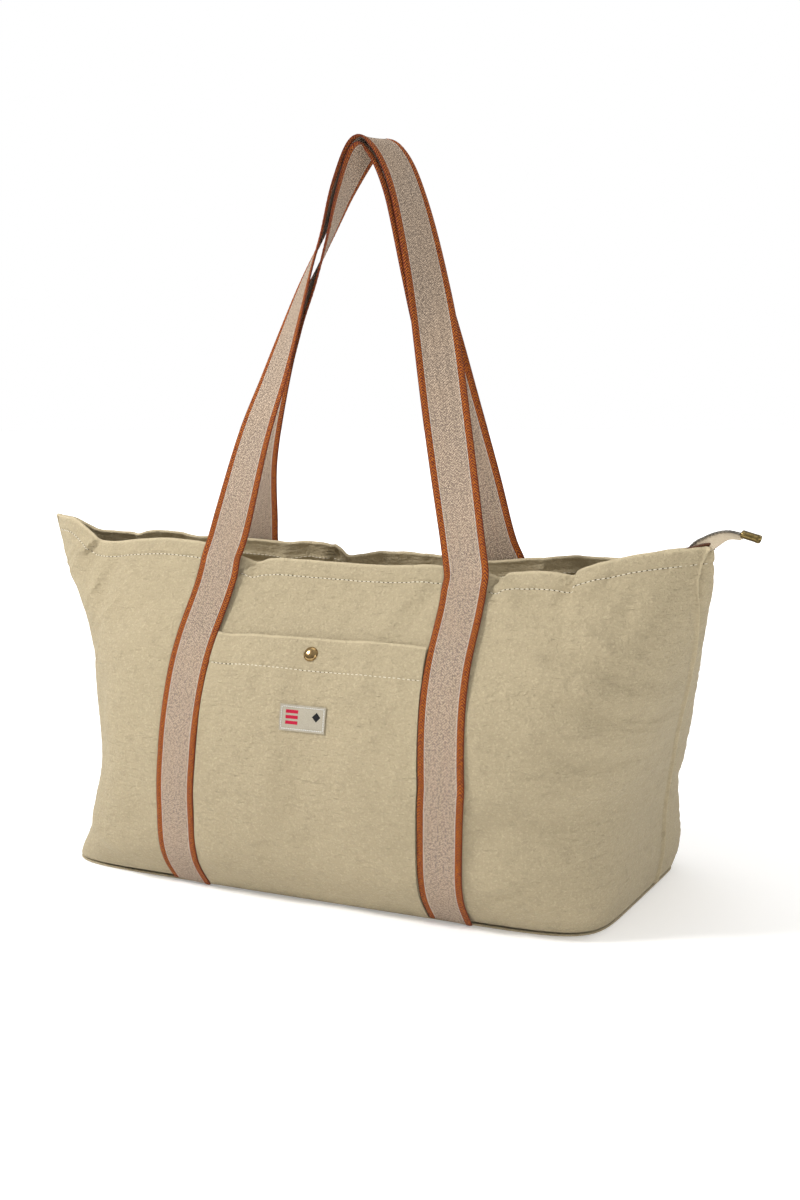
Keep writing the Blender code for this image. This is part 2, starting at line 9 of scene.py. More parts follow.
import bmesh
import bpy
import numpy as np
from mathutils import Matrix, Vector


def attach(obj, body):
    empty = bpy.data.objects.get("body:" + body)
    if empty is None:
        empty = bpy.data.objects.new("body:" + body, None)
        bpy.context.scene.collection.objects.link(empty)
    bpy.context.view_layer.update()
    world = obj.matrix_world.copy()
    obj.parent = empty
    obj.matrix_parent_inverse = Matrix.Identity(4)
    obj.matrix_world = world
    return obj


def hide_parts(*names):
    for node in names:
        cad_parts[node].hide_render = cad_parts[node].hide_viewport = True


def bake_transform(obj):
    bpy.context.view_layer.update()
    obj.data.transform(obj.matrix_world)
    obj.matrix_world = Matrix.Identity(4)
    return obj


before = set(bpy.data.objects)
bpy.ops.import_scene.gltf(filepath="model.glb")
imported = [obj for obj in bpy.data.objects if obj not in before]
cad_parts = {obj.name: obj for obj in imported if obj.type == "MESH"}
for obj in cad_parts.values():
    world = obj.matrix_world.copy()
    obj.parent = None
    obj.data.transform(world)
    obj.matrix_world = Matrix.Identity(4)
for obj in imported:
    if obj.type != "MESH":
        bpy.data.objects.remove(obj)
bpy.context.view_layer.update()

# ---- the CAD model's own sizes, repeated ----
FABRIC = 0.0013             # one layer of canvas, as seen; the CAD solid is a little thicker
BASE_TOP = 0.0023
RIM_HEIGHT, TIP_RISE = 0.285, 0.024
RIM_HALF_WIDTH, RIM_MIDDLE_X = 0.3073, 0.0093
# Sections of the bag from the base up to the rim.
LEVELS = np.array((0.0, 0.08, 0.25, 0.50, 0.75, 0.90, 1.0))
HALF_WIDTH = (0.2545, 0.250, 0.2485, 0.2575, 0.2795, 0.3015, RIM_HALF_WIDTH)
MIDDLE_X = (-0.0115, -0.0015, 0.0035, 0.015, 0.019, 0.012, RIM_MIDDLE_X)
# Where the CAD's side seams and the two faces lie.
SEAM_Y = (0.045, 0.040, 0.030, 0.0, -0.030, -0.055, -0.069)
FRONT_Y = (-0.118, -0.140, -0.160, -0.168, -0.148, -0.1195, -0.105)
REAR_Y = (0.118, 0.132, 0.145, 0.125, 0.045, -0.014, -0.030)
# How square each section is at its ends, and how far its face keeps straight.
END_POWER = (10.0, 7.5, 5.2, 4.5, 5.0, 5.6, 6.0)
ROUNDNESS = (9.0, 6.5, 3.7, 3.0, 2.0, 1.3, 1.0)
FRONT, REAR = -1, 1
SIDES = {"front": FRONT, "rear": REAR}
WEBBING_WIDTH = 0.038
STRAP_LIFT = 0.0010
HINGE_LEVEL = 16 / 17       # where the straps end and the handles begin to move
# X of each strap at the base, at STRAP_KNEE and at the hinge.
STRAP_KNEE = 0.43
STRAP_X = {("front", "left"): (-0.1229, -0.1050, -0.0945),
           ("front", "right"): (0.1229, 0.1350, 0.1300),
           ("rear", "left"): (-0.1229, -0.1120, -0.1070),
           ("rear", "right"): (0.1229, 0.1320, 0.1290)}
POCKET_HEM_BOTTOM, POCKET_TOP = 0.2028, 0.2262
POCKET_SWELL = 0.0018        # at rest; the CAD solid leaves more room
SNAP_AT = (0.0138, 0.2147)
LABEL_SIZE, LABEL_AT, LABEL_INSET = (0.040, 0.020), (0.0155, 0.1667), 0.0016
ZIP_Y, ZIP_Z = -0.067, 0.2630
FLAP_END_X, TAPE_REACH = 0.225, 0.0142
CHAIN_START_X = -0.262

# ---- what only the looks need ----
HEM_DEPTH = 0.0130          # from the rim's edge down to its stitching
HEM_LAYERS = 2.15           # thickness of the folded hem, in layers of canvas
HEM_SLANT = 1.06            # travel down the steep hem for each metre of height
STITCH_PITCH = 0.0040
THREAD = 0.00030            # radius of the sewing thread
STRIPE = 0.0057             # width of the coloured edge of the webbing
SEEDS = {"front": (11, 5, 71), "rear": (47, 29, 83)}        # of the folds, the crinkles and the hem
UP, ACROSS = np.array((0.0, 0.0, 1.0)), np.array((0.0, 1.0, 0.0))

# Height of each rim along X, with its soft waves and the two sharp creases of the front one.
RIM_WAVE = {
    "front": ((-0.298, 0.3085), (-0.270, 0.3085), (-0.254, 0.3035), (-0.238, 0.2955),
              (-0.228, 0.2910), (-0.215, 0.2905), (-0.190, 0.2935), (-0.150, 0.2970),
              (-0.118, 0.2955), (-0.076, 0.2850), (-0.064, 0.2822), (-0.052, 0.2845),
              (-0.035, 0.2853), (0.010, 0.2848), (0.055, 0.2845), (0.098, 0.2870),
              (0.130, 0.2855), (0.146, 0.2838), (0.157, 0.2812), (0.164, 0.2845),
              (0.195, 0.2868), (0.2155, 0.2858), (0.2225, 0.2905), (0.243, 0.2973),
              (0.268, 0.3033), (0.300, 0.3072), (0.3166, 0.3085)),
    "rear": ((-0.298, 0.3085), (-0.286, 0.3065), (-0.272, 0.2985), (-0.262, 0.2940),
             (-0.235, 0.2923), (-0.206, 0.2956), (-0.186, 0.2940), (-0.165, 0.2912),
             (-0.114, 0.2915), (-0.072, 0.2905), (-0.040, 0.2914), (-0.026, 0.2888),
             (-0.008, 0.2832), (0.018, 0.2853), (0.045, 0.2868), (0.075, 0.2856),
             (0.115, 0.2835), (0.155, 0.2880), (0.190, 0.2905), (0.217, 0.2917),
             (0.240, 0.2930), (0.270, 0.3010), (0.300, 0.3070), (0.3166, 0.3085)),
}
# The visible side seam on the +X side: how far round to the front of the CAD seam it lies at
# each level, in metres (behind it where < 0).
SEAM_LEAD_LEVELS = (0.0, 0.08, 0.18, 0.30, 0.40, 0.50, 0.60, 0.70, 0.80, 0.90, 0.96, 1.0)
SEAM_LEAD = (0.0, -0.002, -0.007, -0.010, -0.006, 0.001, 0.006, 0.012, 0.017, 0.018, 0.011, 0.003)


def vec(x, y, z):
    """Points or directions from their three coordinates."""
    return np.stack(np.broadcast_arrays(x, y, z), axis=-1)


def unit(v):
    return v / np.maximum(np.linalg.norm(v, axis=-1, keepdims=True), 1e-12)


def travel(points):
    """Distance travelled along a polyline, at each of its points."""
    return np.concatenate([[0.0], np.cumsum(np.linalg.norm(np.diff(points, axis=0), axis=1))])


def resample(values, travelled, wanted):
    """Vectors along a line, read at the wanted places."""
    return np.stack([np.interp(wanted, travelled, column) for column in values.T], axis=-1)


def grid_normals(grid):
    return unit(np.cross(np.gradient(grid, axis=1), np.gradient(grid, axis=0)))


def circle(count):
    """Cosines and sines round a circle, as columns."""
    turn = np.linspace(0.0, 2 * math.pi, count, endpoint=False)[:, None]
    return np.cos(turn), np.sin(turn)


def dome(t):
    """Quarter circle from 0 at t = 0 to 1 at t = 1."""
    return np.sqrt(1.0 - (1.0 - np.clip(t, 0.0, 1.0)) ** 2)


def bell(distance, width):
    return np.exp(-(distance / width) ** 2)


def cubic(places, values, slopes, at):
    """Smooth curve through values with the given slopes."""
    i = np.clip(np.searchsorted(places, at) - 1, 0, len(places) - 2)
    span = places[i + 1] - places[i]
    t = (at - places[i]) / span
    return ((2 * t**3 - 3 * t**2 + 1) * values[i] + (t**3 - 2 * t**2 + t) * span * slopes[i]
            + (3 * t**2 - 2 * t**3) * values[i + 1] + (t**3 - t**2) * span * slopes[i + 1])


def at_level(values, level):
    """Smooth value of a section property at levels between 0, the base, and 1, the rim."""
    values = np.array(values)
    return cubic(LEVELS, values, np.gradient(values, LEVELS), level)


def cad_rim(x):
    """Height of the CAD's rim, which rises towards its corners."""
    return RIM_HEIGHT + TIP_RISE * np.minimum(abs(x - RIM_MIDDLE_X) / RIM_HALF_WIDTH, 1.0) ** 6


def soft_step(t):
    t = np.clip(t, 0.0, 1.0)
    return t * t * (3.0 - 2.0 * t)


def smooth_through(points, x):
    """Smooth curve through (x, value) points, flat where it turns."""
    places, values = np.array(points).T
    rise = np.diff(values) / np.diff(places)
    before, after = rise[:-1], rise[1:]
    bend = np.where(after * before > 0, 2 * after * before / (after + before + 1e-12), 0.0)
    slopes = np.concatenate([[0.0], bend, [0.0]])
    return cubic(places, values, slopes, np.clip(x, places[0], places[-1]))


def rim_height(side_name, x):
    return smooth_through(RIM_WAVE[side_name], x)


# ---- soft noise ----
def noise2(x, y, seed):
    """Smooth gradient noise over a plane, from about -1 to 1."""
    rng = np.random.default_rng(seed)
    table = rng.permutation(256)
    angles = rng.uniform(0.0, 2 * math.pi, 256)
    xi, yi = np.floor(x).astype(int), np.floor(y).astype(int)
    xf, yf = x - xi, y - yi

    def corner(dx, dy):
        angle = angles[table[(table[(xi + dx) % 256] + yi + dy) % 256]]
        return np.cos(angle) * (xf - dx) + np.sin(angle) * (yf - dy)

    u, v = soft_step(xf), soft_step(yf)
    low = corner(0, 0) * (1 - u) + corner(1, 0) * u
    high = corner(0, 1) * (1 - u) + corner(1, 1) * u
    return 1.5 * (low * (1 - v) + high * v)


# ---- the displaced wall ----
def on_line(x, z, at, angle):
    """Place along and across a line through a point of the wall, at an angle from level."""
    turn = math.radians(angle)
    dx, dz = x - at[0], z - at[1]
    return dx * math.cos(turn) + dz * math.sin(turn), dz * math.cos(turn) - dx * math.sin(turn)


def in_metres(rows_of):
    """Rows of X, Z, half length, half width or tail, angle from level and height, from mm."""
    return {side: np.array(rows) / (1000, 1000, 1000, 1000, 1, 1000) for side, rows in rows_of.items()}


# Sharp folds of each wall, high on one side and fading over their tail.
PLEATS = in_metres({
    "front": (
        (-235.5, 285, 8.5, 7.5, 70, 4.68), (-244, 279, 6, 3, 60, 1.8), (-249, 283, 5, 2.8, 64, 1.44),
        (-262, 270, 20, 6, 52, 1.8), (-68.5, 276.5, 8.5, 8, -133, 5.4), (-60, 266, 10, 6, -140, 2.16),
        (157.5, 278, 8, 8.5, -135, 6.12), (169, 270, 7, 5, -125, 1.8), (219, 280, 9, 11, -76, 5.4),
        (212, 281, 5.5, 4, -130, 2.16), (233, 279, 7.5, 4, -100, 1.44), (242, 283, 6, 3, 84, 1.26),
        (245, 266, 13, 5, -35, 1.98), (230, 248, 20, 7, -24, 2.16), (248, 233, 16, 6, -30, 2.16),
        (235, 214, 20, 6, -22, 2.16), (208, 198, 18, 6, -12, 1.8), (244, 188, 16, 6, -18, 1.98),
        (220, 169, 22, 7, -10, 1.8), (236, 146, 16, 6, -6, 1.8), (205, 138, 20, 6, 2, 1.62),
        (178, 42, 26, 7, 26, 1.8), (-224, 244, 20, 7, 60, 2.16), (-205, 230, 22, 7, 38, 1.62),
        (-212, 196, 18, 7, 74, 1.8), (112, 256, 12, 6, 66, 1.8),
    ),
    "rear": (
        (-230, 283, 9, 7, 100, 2.88), (-198, 286, 8, 6, 62, 2.52), (-183, 284, 8, 6, 58, 2.52),
        (-145, 282, 8, 5, 70, 1.8), (-34, 282, 10, 8, -115, 4.68), (-24, 278, 11, 6, 130, 2.52),
        (20, 278, 8, 5, 80, 1.8), (48, 279, 8, 6, -105, 2.16), (160, 280, 9, 6, 75, 2.16),
        (217, 282, 9, 8, -95, 2.88), (-210, 225, 30, 8, 35, 2.52), (215, 220, 30, 8, -35, 2.52),
        (-215, 120, 30, 8, 12, 2.16), (215, 125, 30, 8, -12, 2.16), (20, 160, 40, 9, -8, 2.16),
        (-60, 100, 35, 9, 20, 1.8),
    ),
})

# Soft folds of each wall. Dents are < 0.
FOLDS = in_metres({
    "front": (
        (-230, 283, 16, 6, 70, -2.6), (-214, 272, 30, 9, 70, 1.8), (-246, 270, 30, 9, 40, 3),
        (-215, 225, 60, 11, 78, -4), (-180, 205, 55, 13, 35, 2.4), (-165, 236, 50, 10, 28, -1.4),
        (-205, 145, 40, 12, 82, -3), (-178, 110, 50, 16, 85, 2.4), (-160, 60, 40, 15, 20, -1.8),
        (-200, 35, 30, 9, -30, 2.4), (-64, 277, 12, 7.5, 60, -4.8), (-45, 258, 22, 8, 40, 1.6),
        (101, 262, 22, 9, 60, -3), (75, 250, 30, 11, 62, 1.8), (152, 275, 10, 6, 50, -4.6),
        (172, 268, 20, 8, 30, 2.6), (214, 281, 14, 6, 76, -2.8), (230, 276, 24, 7, 60, 2.6),
        (200, 262, 45, 10, -14, -2.4), (205, 240, 60, 13, -18, 3), (236, 224, 50, 9, -24, -3.8),
        (222, 207, 50, 9, -20, 3), (232, 190, 45, 8, -16, -3.4), (206, 172, 55, 11, -12, 2.2),
        (226, 150, 50, 9, -8, -3), (216, 124, 55, 11, 4, 2.2), (196, 98, 60, 10, 10, -2.4),
        (210, 60, 40, 12, 35, 2.4), (180, 40, 45, 9, 25, -1.8), (235, 255, 20, 8, 75, 1.6),
        (262, 262, 18, 6, 80, -1.4), (10, 110, 70, 22, 70, -1.8), (-40, 70, 60, 20, 60, 1.8),
        (70, 80, 60, 20, -62, 1.6),
    ),
    "rear": (
        (-225, 283, 18, 5, 105, -4), (-190, 276, 24, 8, 80, 2.2), (-163, 274, 14, 6, 95, -3.4),
        (-128, 272, 14, 7, 80, 2.2), (-80, 274, 14, 7, 70, -3.4), (-55, 276, 16, 7, 105, 2.2),
        (-12, 276, 16, 6, 100, -4.8), (12, 273, 20, 8, 80, 2.4), (52, 275, 14, 6, 80, -3.4),
        (94, 274, 16, 7, 95, 1.8), (158, 272, 16, 7, 70, -3.6), (196, 276, 18, 7, 100, 2.2),
        (236, 276, 20, 6, 70, -3), (-180, 215, 60, 13, 40, 3), (-205, 190, 55, 12, 62, -3.6),
        (-70, 225, 60, 14, 20, -2.4), (30, 205, 80, 16, -6, 2.6), (80, 180, 60, 13, -20, -2.4),
        (190, 215, 60, 12, -40, 3), (215, 185, 55, 11, -55, -3.4), (-190, 120, 60, 14, 15, 2.6),
        (-200, 85, 50, 12, -8, -2.6), (195, 130, 60, 14, -12, 2.6), (205, 90, 50, 12, 10, -2.6),
        (0, 120, 80, 20, 60, -2.6), (-40, 60, 60, 18, -30, 2.2), (60, 55, 60, 16, 30, 2),
        (180, 45, 50, 14, 20, -2),
    ),
})


def strap_x(side_name, hand, level):
    return np.interp(level, (0.0, STRAP_KNEE, HINGE_LEVEL), STRAP_X[side_name, hand])


def near_straps(side_name, x, level, reach=0.006):
    """1 under the webbing, falling to 0 beside it."""
    near = np.zeros(np.shape(x))
    for hand in ("left", "right"):
        beside = abs(x - strap_x(side_name, hand, level)) - WEBBING_WIDTH / 2
        near = np.maximum(near, 1.0 - soft_step(beside / reach))
    return near


def soft_relief(side_name, x, z, level):
    """Folds and slow waves of the wall, which the sewn pieces follow too."""
    seed = SEEDS[side_name][0]
    total = (0.0016 * noise2(x / 0.055, z / 0.070, seed)
             + 0.0008 * noise2(x / 0.024, z / 0.034, seed + 1))
    for *at, length, width, angle, height in FOLDS[side_name]:
        along, across = on_line(x, z, at, angle)
        total = total + height * np.exp(-(along / length) ** 2 - (across / width) ** 2)
    for *at, length, tail, angle, height in PLEATS[side_name]:
        along, across = on_line(x, z, at, angle)
        across = across + 0.0010 * np.sin(along / 0.0045)
        step = soft_step((across + 0.0011) / 0.0022) * np.exp(-np.maximum(across, 0.0) / tail)
        total = total + height * step * np.exp(-(along / length) ** 4)
    return total * soft_step(level / 0.12) * (1.0 - 0.55 * near_straps(side_name, x, level, 0.010))


def crinkle(side_name, x, z, level):
    """Small washed-in creases, flattened where the webbing is sewn down."""
    seed = SEEDS[side_name][1]
    warp = 0.4 * noise2(x / 0.030, z / 0.030, seed)
    ridges = 1.0 - 2.0 * abs(noise2(x / 0.013 + warp, z / 0.010 - warp, seed + 2))
    fine = 1.0 - 2.0 * abs(noise2(x / 0.0066 - warp, z / 0.0052 + warp, seed + 3))
    where = 0.55 + 0.45 * noise2(x / 0.060, z / 0.050, seed + 4)
    crumpled = 1.0 + 0.8 * soft_step((x - 0.14) / 0.05) * soft_step((0.27 - z) / 0.05)
    total = crumpled * where * (0.00052 * ridges + 0.00026 * fine)
    return total * soft_step(level / 0.05) * (1.0 - near_straps(side_name, x, level))


def hem_shape(side_name, x, below):
    """The doubled hem stands a little proud and is drawn in along its stitching."""
    seam = below - HEM_DEPTH
    gather = noise2(x / 0.0042, below / 0.030, SEEDS[side_name][2]) * bell(seam, 0.006)
    body = soft_step(-seam / 0.003) * soft_step((below + 0.001) / 0.004)
    return 0.0005 * body - 0.00055 * bell(seam, 0.0016) + 0.00030 * gather


def wall(side_name, x, level):
    """Point of the CAD wall's outer face with the wavy rim."""
    fraction = np.minimum(abs(x - at_level(MIDDLE_X, level)) / at_level(HALF_WIDTH, level), 1.0)
    crown = (1.0 - fraction ** at_level(END_POWER, level)) ** (1.0 / at_level(ROUNDNESS, level))
    return wall_from_crown(side_name, x, crown, level)


def wall_from_crown(side_name, x, crown, level):
    """Point of the wall from its X and its place between the seam, 0, and the face, 1.

    Below 0 it lies past the seam, on the other side's wall.
    """
    seam = at_level(SEAM_Y, level)
    faces = at_level(FRONT_Y, level), at_level(REAR_Y, level)
    own, other = faces if side_name == "front" else faces[::-1]
    face = np.where(np.asarray(crown) < 0.0, 2 * seam - other, own)
    rim = cad_rim(x) + (rim_height(side_name, x) - cad_rim(x)) * soft_step((level - 0.55) / 0.45)
    # The -X corner is blunt: full below the rim, and drawn in a little at it.
    corner = np.interp(level, (0.50, 0.68, 0.90, 0.97, 1.0), (0.0, 0.0060, 0.0065, 0.0, -0.0030))
    x = x - corner * soft_step((-x - 0.10) / 0.19) ** 2
    return vec(x, seam + (face - seam) * crown, BASE_TOP + level * (rim - BASE_TOP))


def wall_normal(side_name, x, level):
    step = 0.002
    across = wall(side_name, x + step, level) - wall(side_name, x - step, level)
    upward = (wall(side_name, x, np.minimum(level + 0.01, 1.0))
              - wall(side_name, x, np.maximum(level - 0.01, 0.0)))
    return unit(np.cross(across, upward) * (-SIDES[side_name]))


def rim_drop(side_name, x, point):
    """How far a point lies below the wavy rim, measured along the steep hem."""
    return (rim_height(side_name, x) - point[..., 2]) * HEM_SLANT


def on_wall(side_name, x, level, lift=0.0, fine=1.0):
    """Point on the displaced wall, lifted outward. fine is the share of its small creases."""
    x, level = np.broadcast_arrays(x, level)
    point = wall(side_name, x, level)
    z = point[..., 2]
    small = crinkle(side_name, x, z, level) + hem_shape(side_name, x, rim_drop(side_name, x, point))
    relief = soft_relief(side_name, x, z, level) + fine * small
    return point + wall_normal(side_name, x, level) * (relief + lift)[..., None]


def level_at_height(x, z):
    """Level of a height below the CAD's rim."""
    return (z - BASE_TOP) / (cad_rim(x) - BASE_TOP)


# ---- meshes ----
def add_mesh(name, points, faces, look, cloth=None, smooth=40.0):
    """A piece from points and faces. cloth holds each point's place on the flat cloth, in metres."""
    mesh = bpy.data.meshes.new(name)
    mesh.from_pydata([tuple(p) for p in np.asarray(points, dtype=float)], [], faces)
    if cloth is not None:
        layer = mesh.attributes.new("cloth", "FLOAT_VECTOR", "POINT")
        layer.data.foreach_set("vector", np.asarray(cloth, dtype=np.float32).ravel())
    work = bmesh.new()
    work.from_mesh(mesh)
    bmesh.ops.recalc_face_normals(work, faces=work.faces)
    work.to_mesh(mesh)
    work.free()
    mesh.shade_smooth()
    mesh.set_sharp_from_angle(angle=math.radians(smooth))
    mesh.materials.append(look)
    made = bpy.data.objects.new(name, mesh)
    bpy.context.scene.collection.objects.link(made)
    return made


def flat(*grids):
    return np.concatenate([np.asarray(g, dtype=float).reshape(-1, 3) for g in grids])


def ring_faces(rows, columns, closed=True, shift=0):
    """Quads between rows of points, round a tube or over an open grid."""
    faces = []
    for i in range(rows - 1):
        a, b = shift + i * columns, shift + (i + 1) * columns
        for j in range(columns if closed else columns - 1):
            n = (j + 1) % columns
            faces.append((a + j, a + n, b + n, b + j))
    return faces


def closed_faces(rows, columns, shift=0):
    """Faces of a tube with flat ends."""
    first = tuple(range(shift, shift + columns))
    last = tuple(k + (rows - 1) * columns for k in first)
    return ring_faces(rows, columns, shift=shift) + [first[::-1], last]


def tube(name, rings, look, cloth=None, smooth=50.0):
    """Closed tube with flat ends, from rings of points."""
    return add_mesh(name, flat(*rings), closed_faces(len(rings), len(rings[0])), look, cloth, smooth)


def slab(name, outer, inner, look, cloth=None, smooth=60.0):
    """Closed slab between two grids of the same size."""
    rows, columns = np.shape(outer)[:2]
    shift = rows * columns
    faces = ring_faces(rows, columns, closed=False)
    faces += [tuple(shift + k for k in reversed(face)) for face in faces]
    index = np.arange(shift).reshape(rows, columns)
    edge = np.concatenate([index[0], index[1:, -1], index[-1, -2::-1], index[-2:0:-1, 0]]).tolist()
    faces += [(a, b, b + shift, a + shift) for a, b in zip(edge, edge[1:] + edge[:1])]
    both = None if cloth is None else flat(cloth, cloth)
    return add_mesh(name, flat(outer, inner), faces, look, both, smooth)


def soft_slab(name, centre, thickness, look, cloth, roll=2, face_up=True):
    """Cloth of one thickness round a grid of middle points, with rolled edges."""
    rows, columns = centre.shape[:2]
    i, j = np.mgrid[0:rows, 0:columns]
    inset = np.minimum(np.minimum(i, rows - 1 - i), np.minimum(j, columns - 1 - j))
    out = grid_normals(centre)
    if face_up:
        out *= np.sign(out[..., 2:])
    half = out * (thickness / 2 * dome((inset + 0.35) / roll))[..., None]
    return slab(name, centre + half, centre - half, look, cloth, smooth=70.0)


def place(piece, body, slot_name, *replaced):
    """A piece that rides on one body."""
    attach(piece, body)
    if replaced:
        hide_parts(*replaced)


def join(piece, body, slot_name, bend, *replaced):
    """A piece that stays on the bag where it is built, its transform baked in; it does not bend or
    follow the body.
    """
    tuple(bend[0])
    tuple(bend[1])
    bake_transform(piece)
    if replaced:
        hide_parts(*replaced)


# ---- materials ----
class Look:
    """A Principled material and short ways to add its nodes."""

    def __init__(self, name, roughness, metallic=0.0, sheen=0.0, specular=0.35):
        self.material = bpy.data.materials.new(name)
        self.material.use_nodes = True
        self.tree = self.material.node_tree
        self.shader = self.tree.nodes["Principled BSDF"]
        for key, value in (("Roughness", roughness), ("Metallic", metallic), ("Sheen Weight", sheen),
                           ("Specular IOR Level", specular), ("Sheen Roughness", 0.45)):
            self.shader.inputs[key].default_value = value

    def node(self, kind, inputs=None, **settings):
        made = self.tree.nodes.new("ShaderNode" + kind)
        for key, value in settings.items():
            setattr(made, key, value)
        for key, value in (inputs or {}).items():
            self.feed(made.inputs[key], value)
        return made

    def feed(self, socket, value):
        if isinstance(value, bpy.types.NodeSocket):
            self.tree.links.new(value, socket)
        else:
            socket.default_value = value

    def math(self, operation, *values, clamp=False):
        made = self.node("Math", dict(enumerate(values)), operation=operation, use_clamp=clamp)
        return made.outputs[0]

    def times(self, first, second, clamp=False):
        return self.math("MULTIPLY", first, second, clamp=clamp)

    def plus(self, first, second):
        return self.math("ADD", first, second)

    def wave(self, value, period):
        return self.math("SINE", self.times(value, 2 * math.pi / period))

    def mix(self, factor, first, second):
        made = self.node("Mix", {0: factor, 6: first, 7: second}, data_type="RGBA")
        return made.outputs[2]

    def tint(self, base, mask, share, colour, clamp=False):
        return self.mix(self.times(mask, share, clamp), base, colour)

    def ramp(self, value, low, high):
        made = self.node("MapRange", {"Value": value, "From Min": low, "From Max": high},
                         interpolation_type="SMOOTHSTEP")
        return made.outputs[0]

    def noise(self, where, scale, detail=2.0, rough=0.6):
        return self.node("TexNoise", {"Vector": where, "Scale": scale, "Detail": detail,
                                      "Roughness": rough}).outputs[0]

    def stretched(self, where, scale, tilt=0.0):
        return self.node("Mapping", {"Vector": where, "Rotation": (0.0, tilt, 0.0),
                                     "Scale": scale}).outputs[0]

    def bump(self, height, distance, strength, before=None):
        made = self.node("Bump", {"Height": height, "Distance": distance, "Strength": strength})
        if before is not None:
            self.feed(made.inputs["Normal"], before)
        return made.outputs[0]

    def cloth(self):
        """Place on the flat cloth, in metres, and its three parts."""
        flat_place = self.node("Attribute", attribute_name="cloth").outputs["Vector"]
        return flat_place, *self.node("SeparateXYZ", {0: flat_place}).outputs

    def where(self):
        return self.node("TexCoord").outputs["Object"]

    def finish(self, colour, normal=None, roughness=None):
        for key, value in (("Base Color", colour), ("Normal", normal), ("Roughness", roughness)):
            if value is not None:
                self.feed(self.shader.inputs[key], value)
        return self.material


def rgb(red, green, blue):
    return (red, green, blue, 1.0)


def shade(colour, factor, more=0.0):
    return rgb(*(c * factor + more for c in colour))


def canvas_look():
    """Washed, finely woven cloth: threads, small crinkles, a slightly uneven dye, painted highlights
    on fold edges and painted shade in the seam.
    """
    look = Look("canvas", 0.90, sheen=0.06, specular=0.16)
    colour = (0.368, 0.306, 0.196)
    where = look.where()
    flat_place, x, y, painted_light_and_shade = look.cloth()
    weave = look.times(look.wave(x, 0.00052), look.wave(y, 0.00056))
    slub = look.noise(flat_place, 900.0)
    washed = look.noise(where, 95.0, 4.0, 0.62)
    broad = look.noise(where, 13.0, 3.0, 0.55)
    grain = look.noise(where, 520.0, 3.0, 0.65)
    deep = shade(colour, 0.78)
    base = look.mix(look.ramp(broad, 0.30, 0.70), shade(colour, 0.955), rgb(*colour))
    base = look.tint(base, look.ramp(washed, 0.50, 0.74), 0.60, deep)
    base = look.tint(base, look.ramp(grain, 0.48, 0.70), 0.80, shade(colour, 1.18, 0.014))
    base = look.tint(base, look.ramp(slub, 0.52, 0.70), 0.60, deep)
    # Painted highlight where the cloth's third part is above 0, painted shade where it is below 0.
    base = look.tint(base, painted_light_and_shade, 0.75, shade(colour, 1.42, 0.02), clamp=True)
    base = look.tint(base, painted_light_and_shade, -0.60, shade(colour, 0.48), clamp=True)
    ridged = look.math("ABSOLUTE", look.math("SUBTRACT", look.noise(where, 150.0, 3.0), 0.5))
    creased = look.noise(look.stretched(where, (1.0, 1.0, 2.6), 0.5), 80.0, 3.0, 0.55)
    wrinkled = look.noise(look.stretched(where, (0.8, 0.8, 3.2), 0.25), 105.0, 3.0)
    normal = None
    for height, distance, strength in (
            (creased, 0.0024, 0.80), (wrinkled, 0.0015, 0.80),
            (look.ramp(ridged, 0.0, 0.16), 0.00042, 0.80), (washed, 0.0015, 0.70),
            (grain, 0.00080, 0.85), (weave, 0.00006, 0.6)):
        normal = look.bump(height, distance, strength, normal)
    return look.finish(base, normal, look.plus(look.times(grain, 0.12), 0.80))


def webbing_look():
    """Woven band: a herringbone middle, a pale line each side and braided rust edges."""
    look = Look("webbing", 0.86, sheen=0.04, specular=0.14)
    flat_place, x, y, _ = look.cloth()
    out = look.math("ABSOLUTE", y)
    stripe_start = WEBBING_WIDTH / 2 - STRIPE
    # Middle: a zigzag of slanting ribs.
    zigzag = look.math("PINGPONG", y, 0.0044)
    ribs = look.wave(look.plus(x, look.times(zigzag, 0.95)), 0.0021)
    speck = look.noise(flat_place, 620.0)
    broad = look.noise(flat_place, 26.0, 3.0, 0.5)
    middle = look.mix(look.math("MULTIPLY_ADD", ribs, 0.5, 0.5), rgb(0.320, 0.240, 0.178),
                      rgb(0.560, 0.438, 0.325))
    middle = look.tint(middle, look.ramp(speck, 0.46, 0.58), 0.95, rgb(0.225, 0.170, 0.132))
    middle = look.tint(middle, look.ramp(broad, 0.35, 0.70), 0.20, rgb(0.450, 0.320, 0.215))
    # Edge: two columns of slanting stitches in rust over maroon.
    edge_y = look.math("SUBTRACT", out, stripe_start + STRIPE / 2)
    edge_slant = look.math("SUBTRACT", x, look.times(look.math("ABSOLUTE", edge_y), 1.1))
    braid = look.wave(edge_slant, 0.0024)
    both = look.plus(look.times(braid, 0.22), look.noise(flat_place, 420.0))
    rust = look.mix(look.ramp(both, 0.40, 0.62), rgb(0.130, 0.022, 0.014), rgb(0.450, 0.130, 0.014))
    rust = look.mix(look.ramp(out, stripe_start + STRIPE * 0.80, stripe_start + STRIPE), rust,
                    rgb(0.150, 0.030, 0.012))
    edge_mask = look.ramp(out, stripe_start - 0.00015, stripe_start + 0.00015)
    inside = look.math("SUBTRACT", 1.0, edge_mask)
    line_mask = look.times(look.ramp(out, stripe_start - 0.0008, stripe_start - 0.0005), inside)
    colour = look.tint(middle, line_mask, 0.70, rgb(0.520, 0.470, 0.420))
    colour = look.mix(edge_mask, colour, rust)
    relief = look.plus(look.times(ribs, inside), look.times(look.times(braid, 1.5), edge_mask))
    normal = look.bump(relief, 0.00030, 1.0)
    normal = look.bump(look.wave(y, 0.00075), 0.00005, 0.6, normal)
    normal = look.bump(speck, 0.00034, 0.9, normal)
    return look.finish(colour, normal)


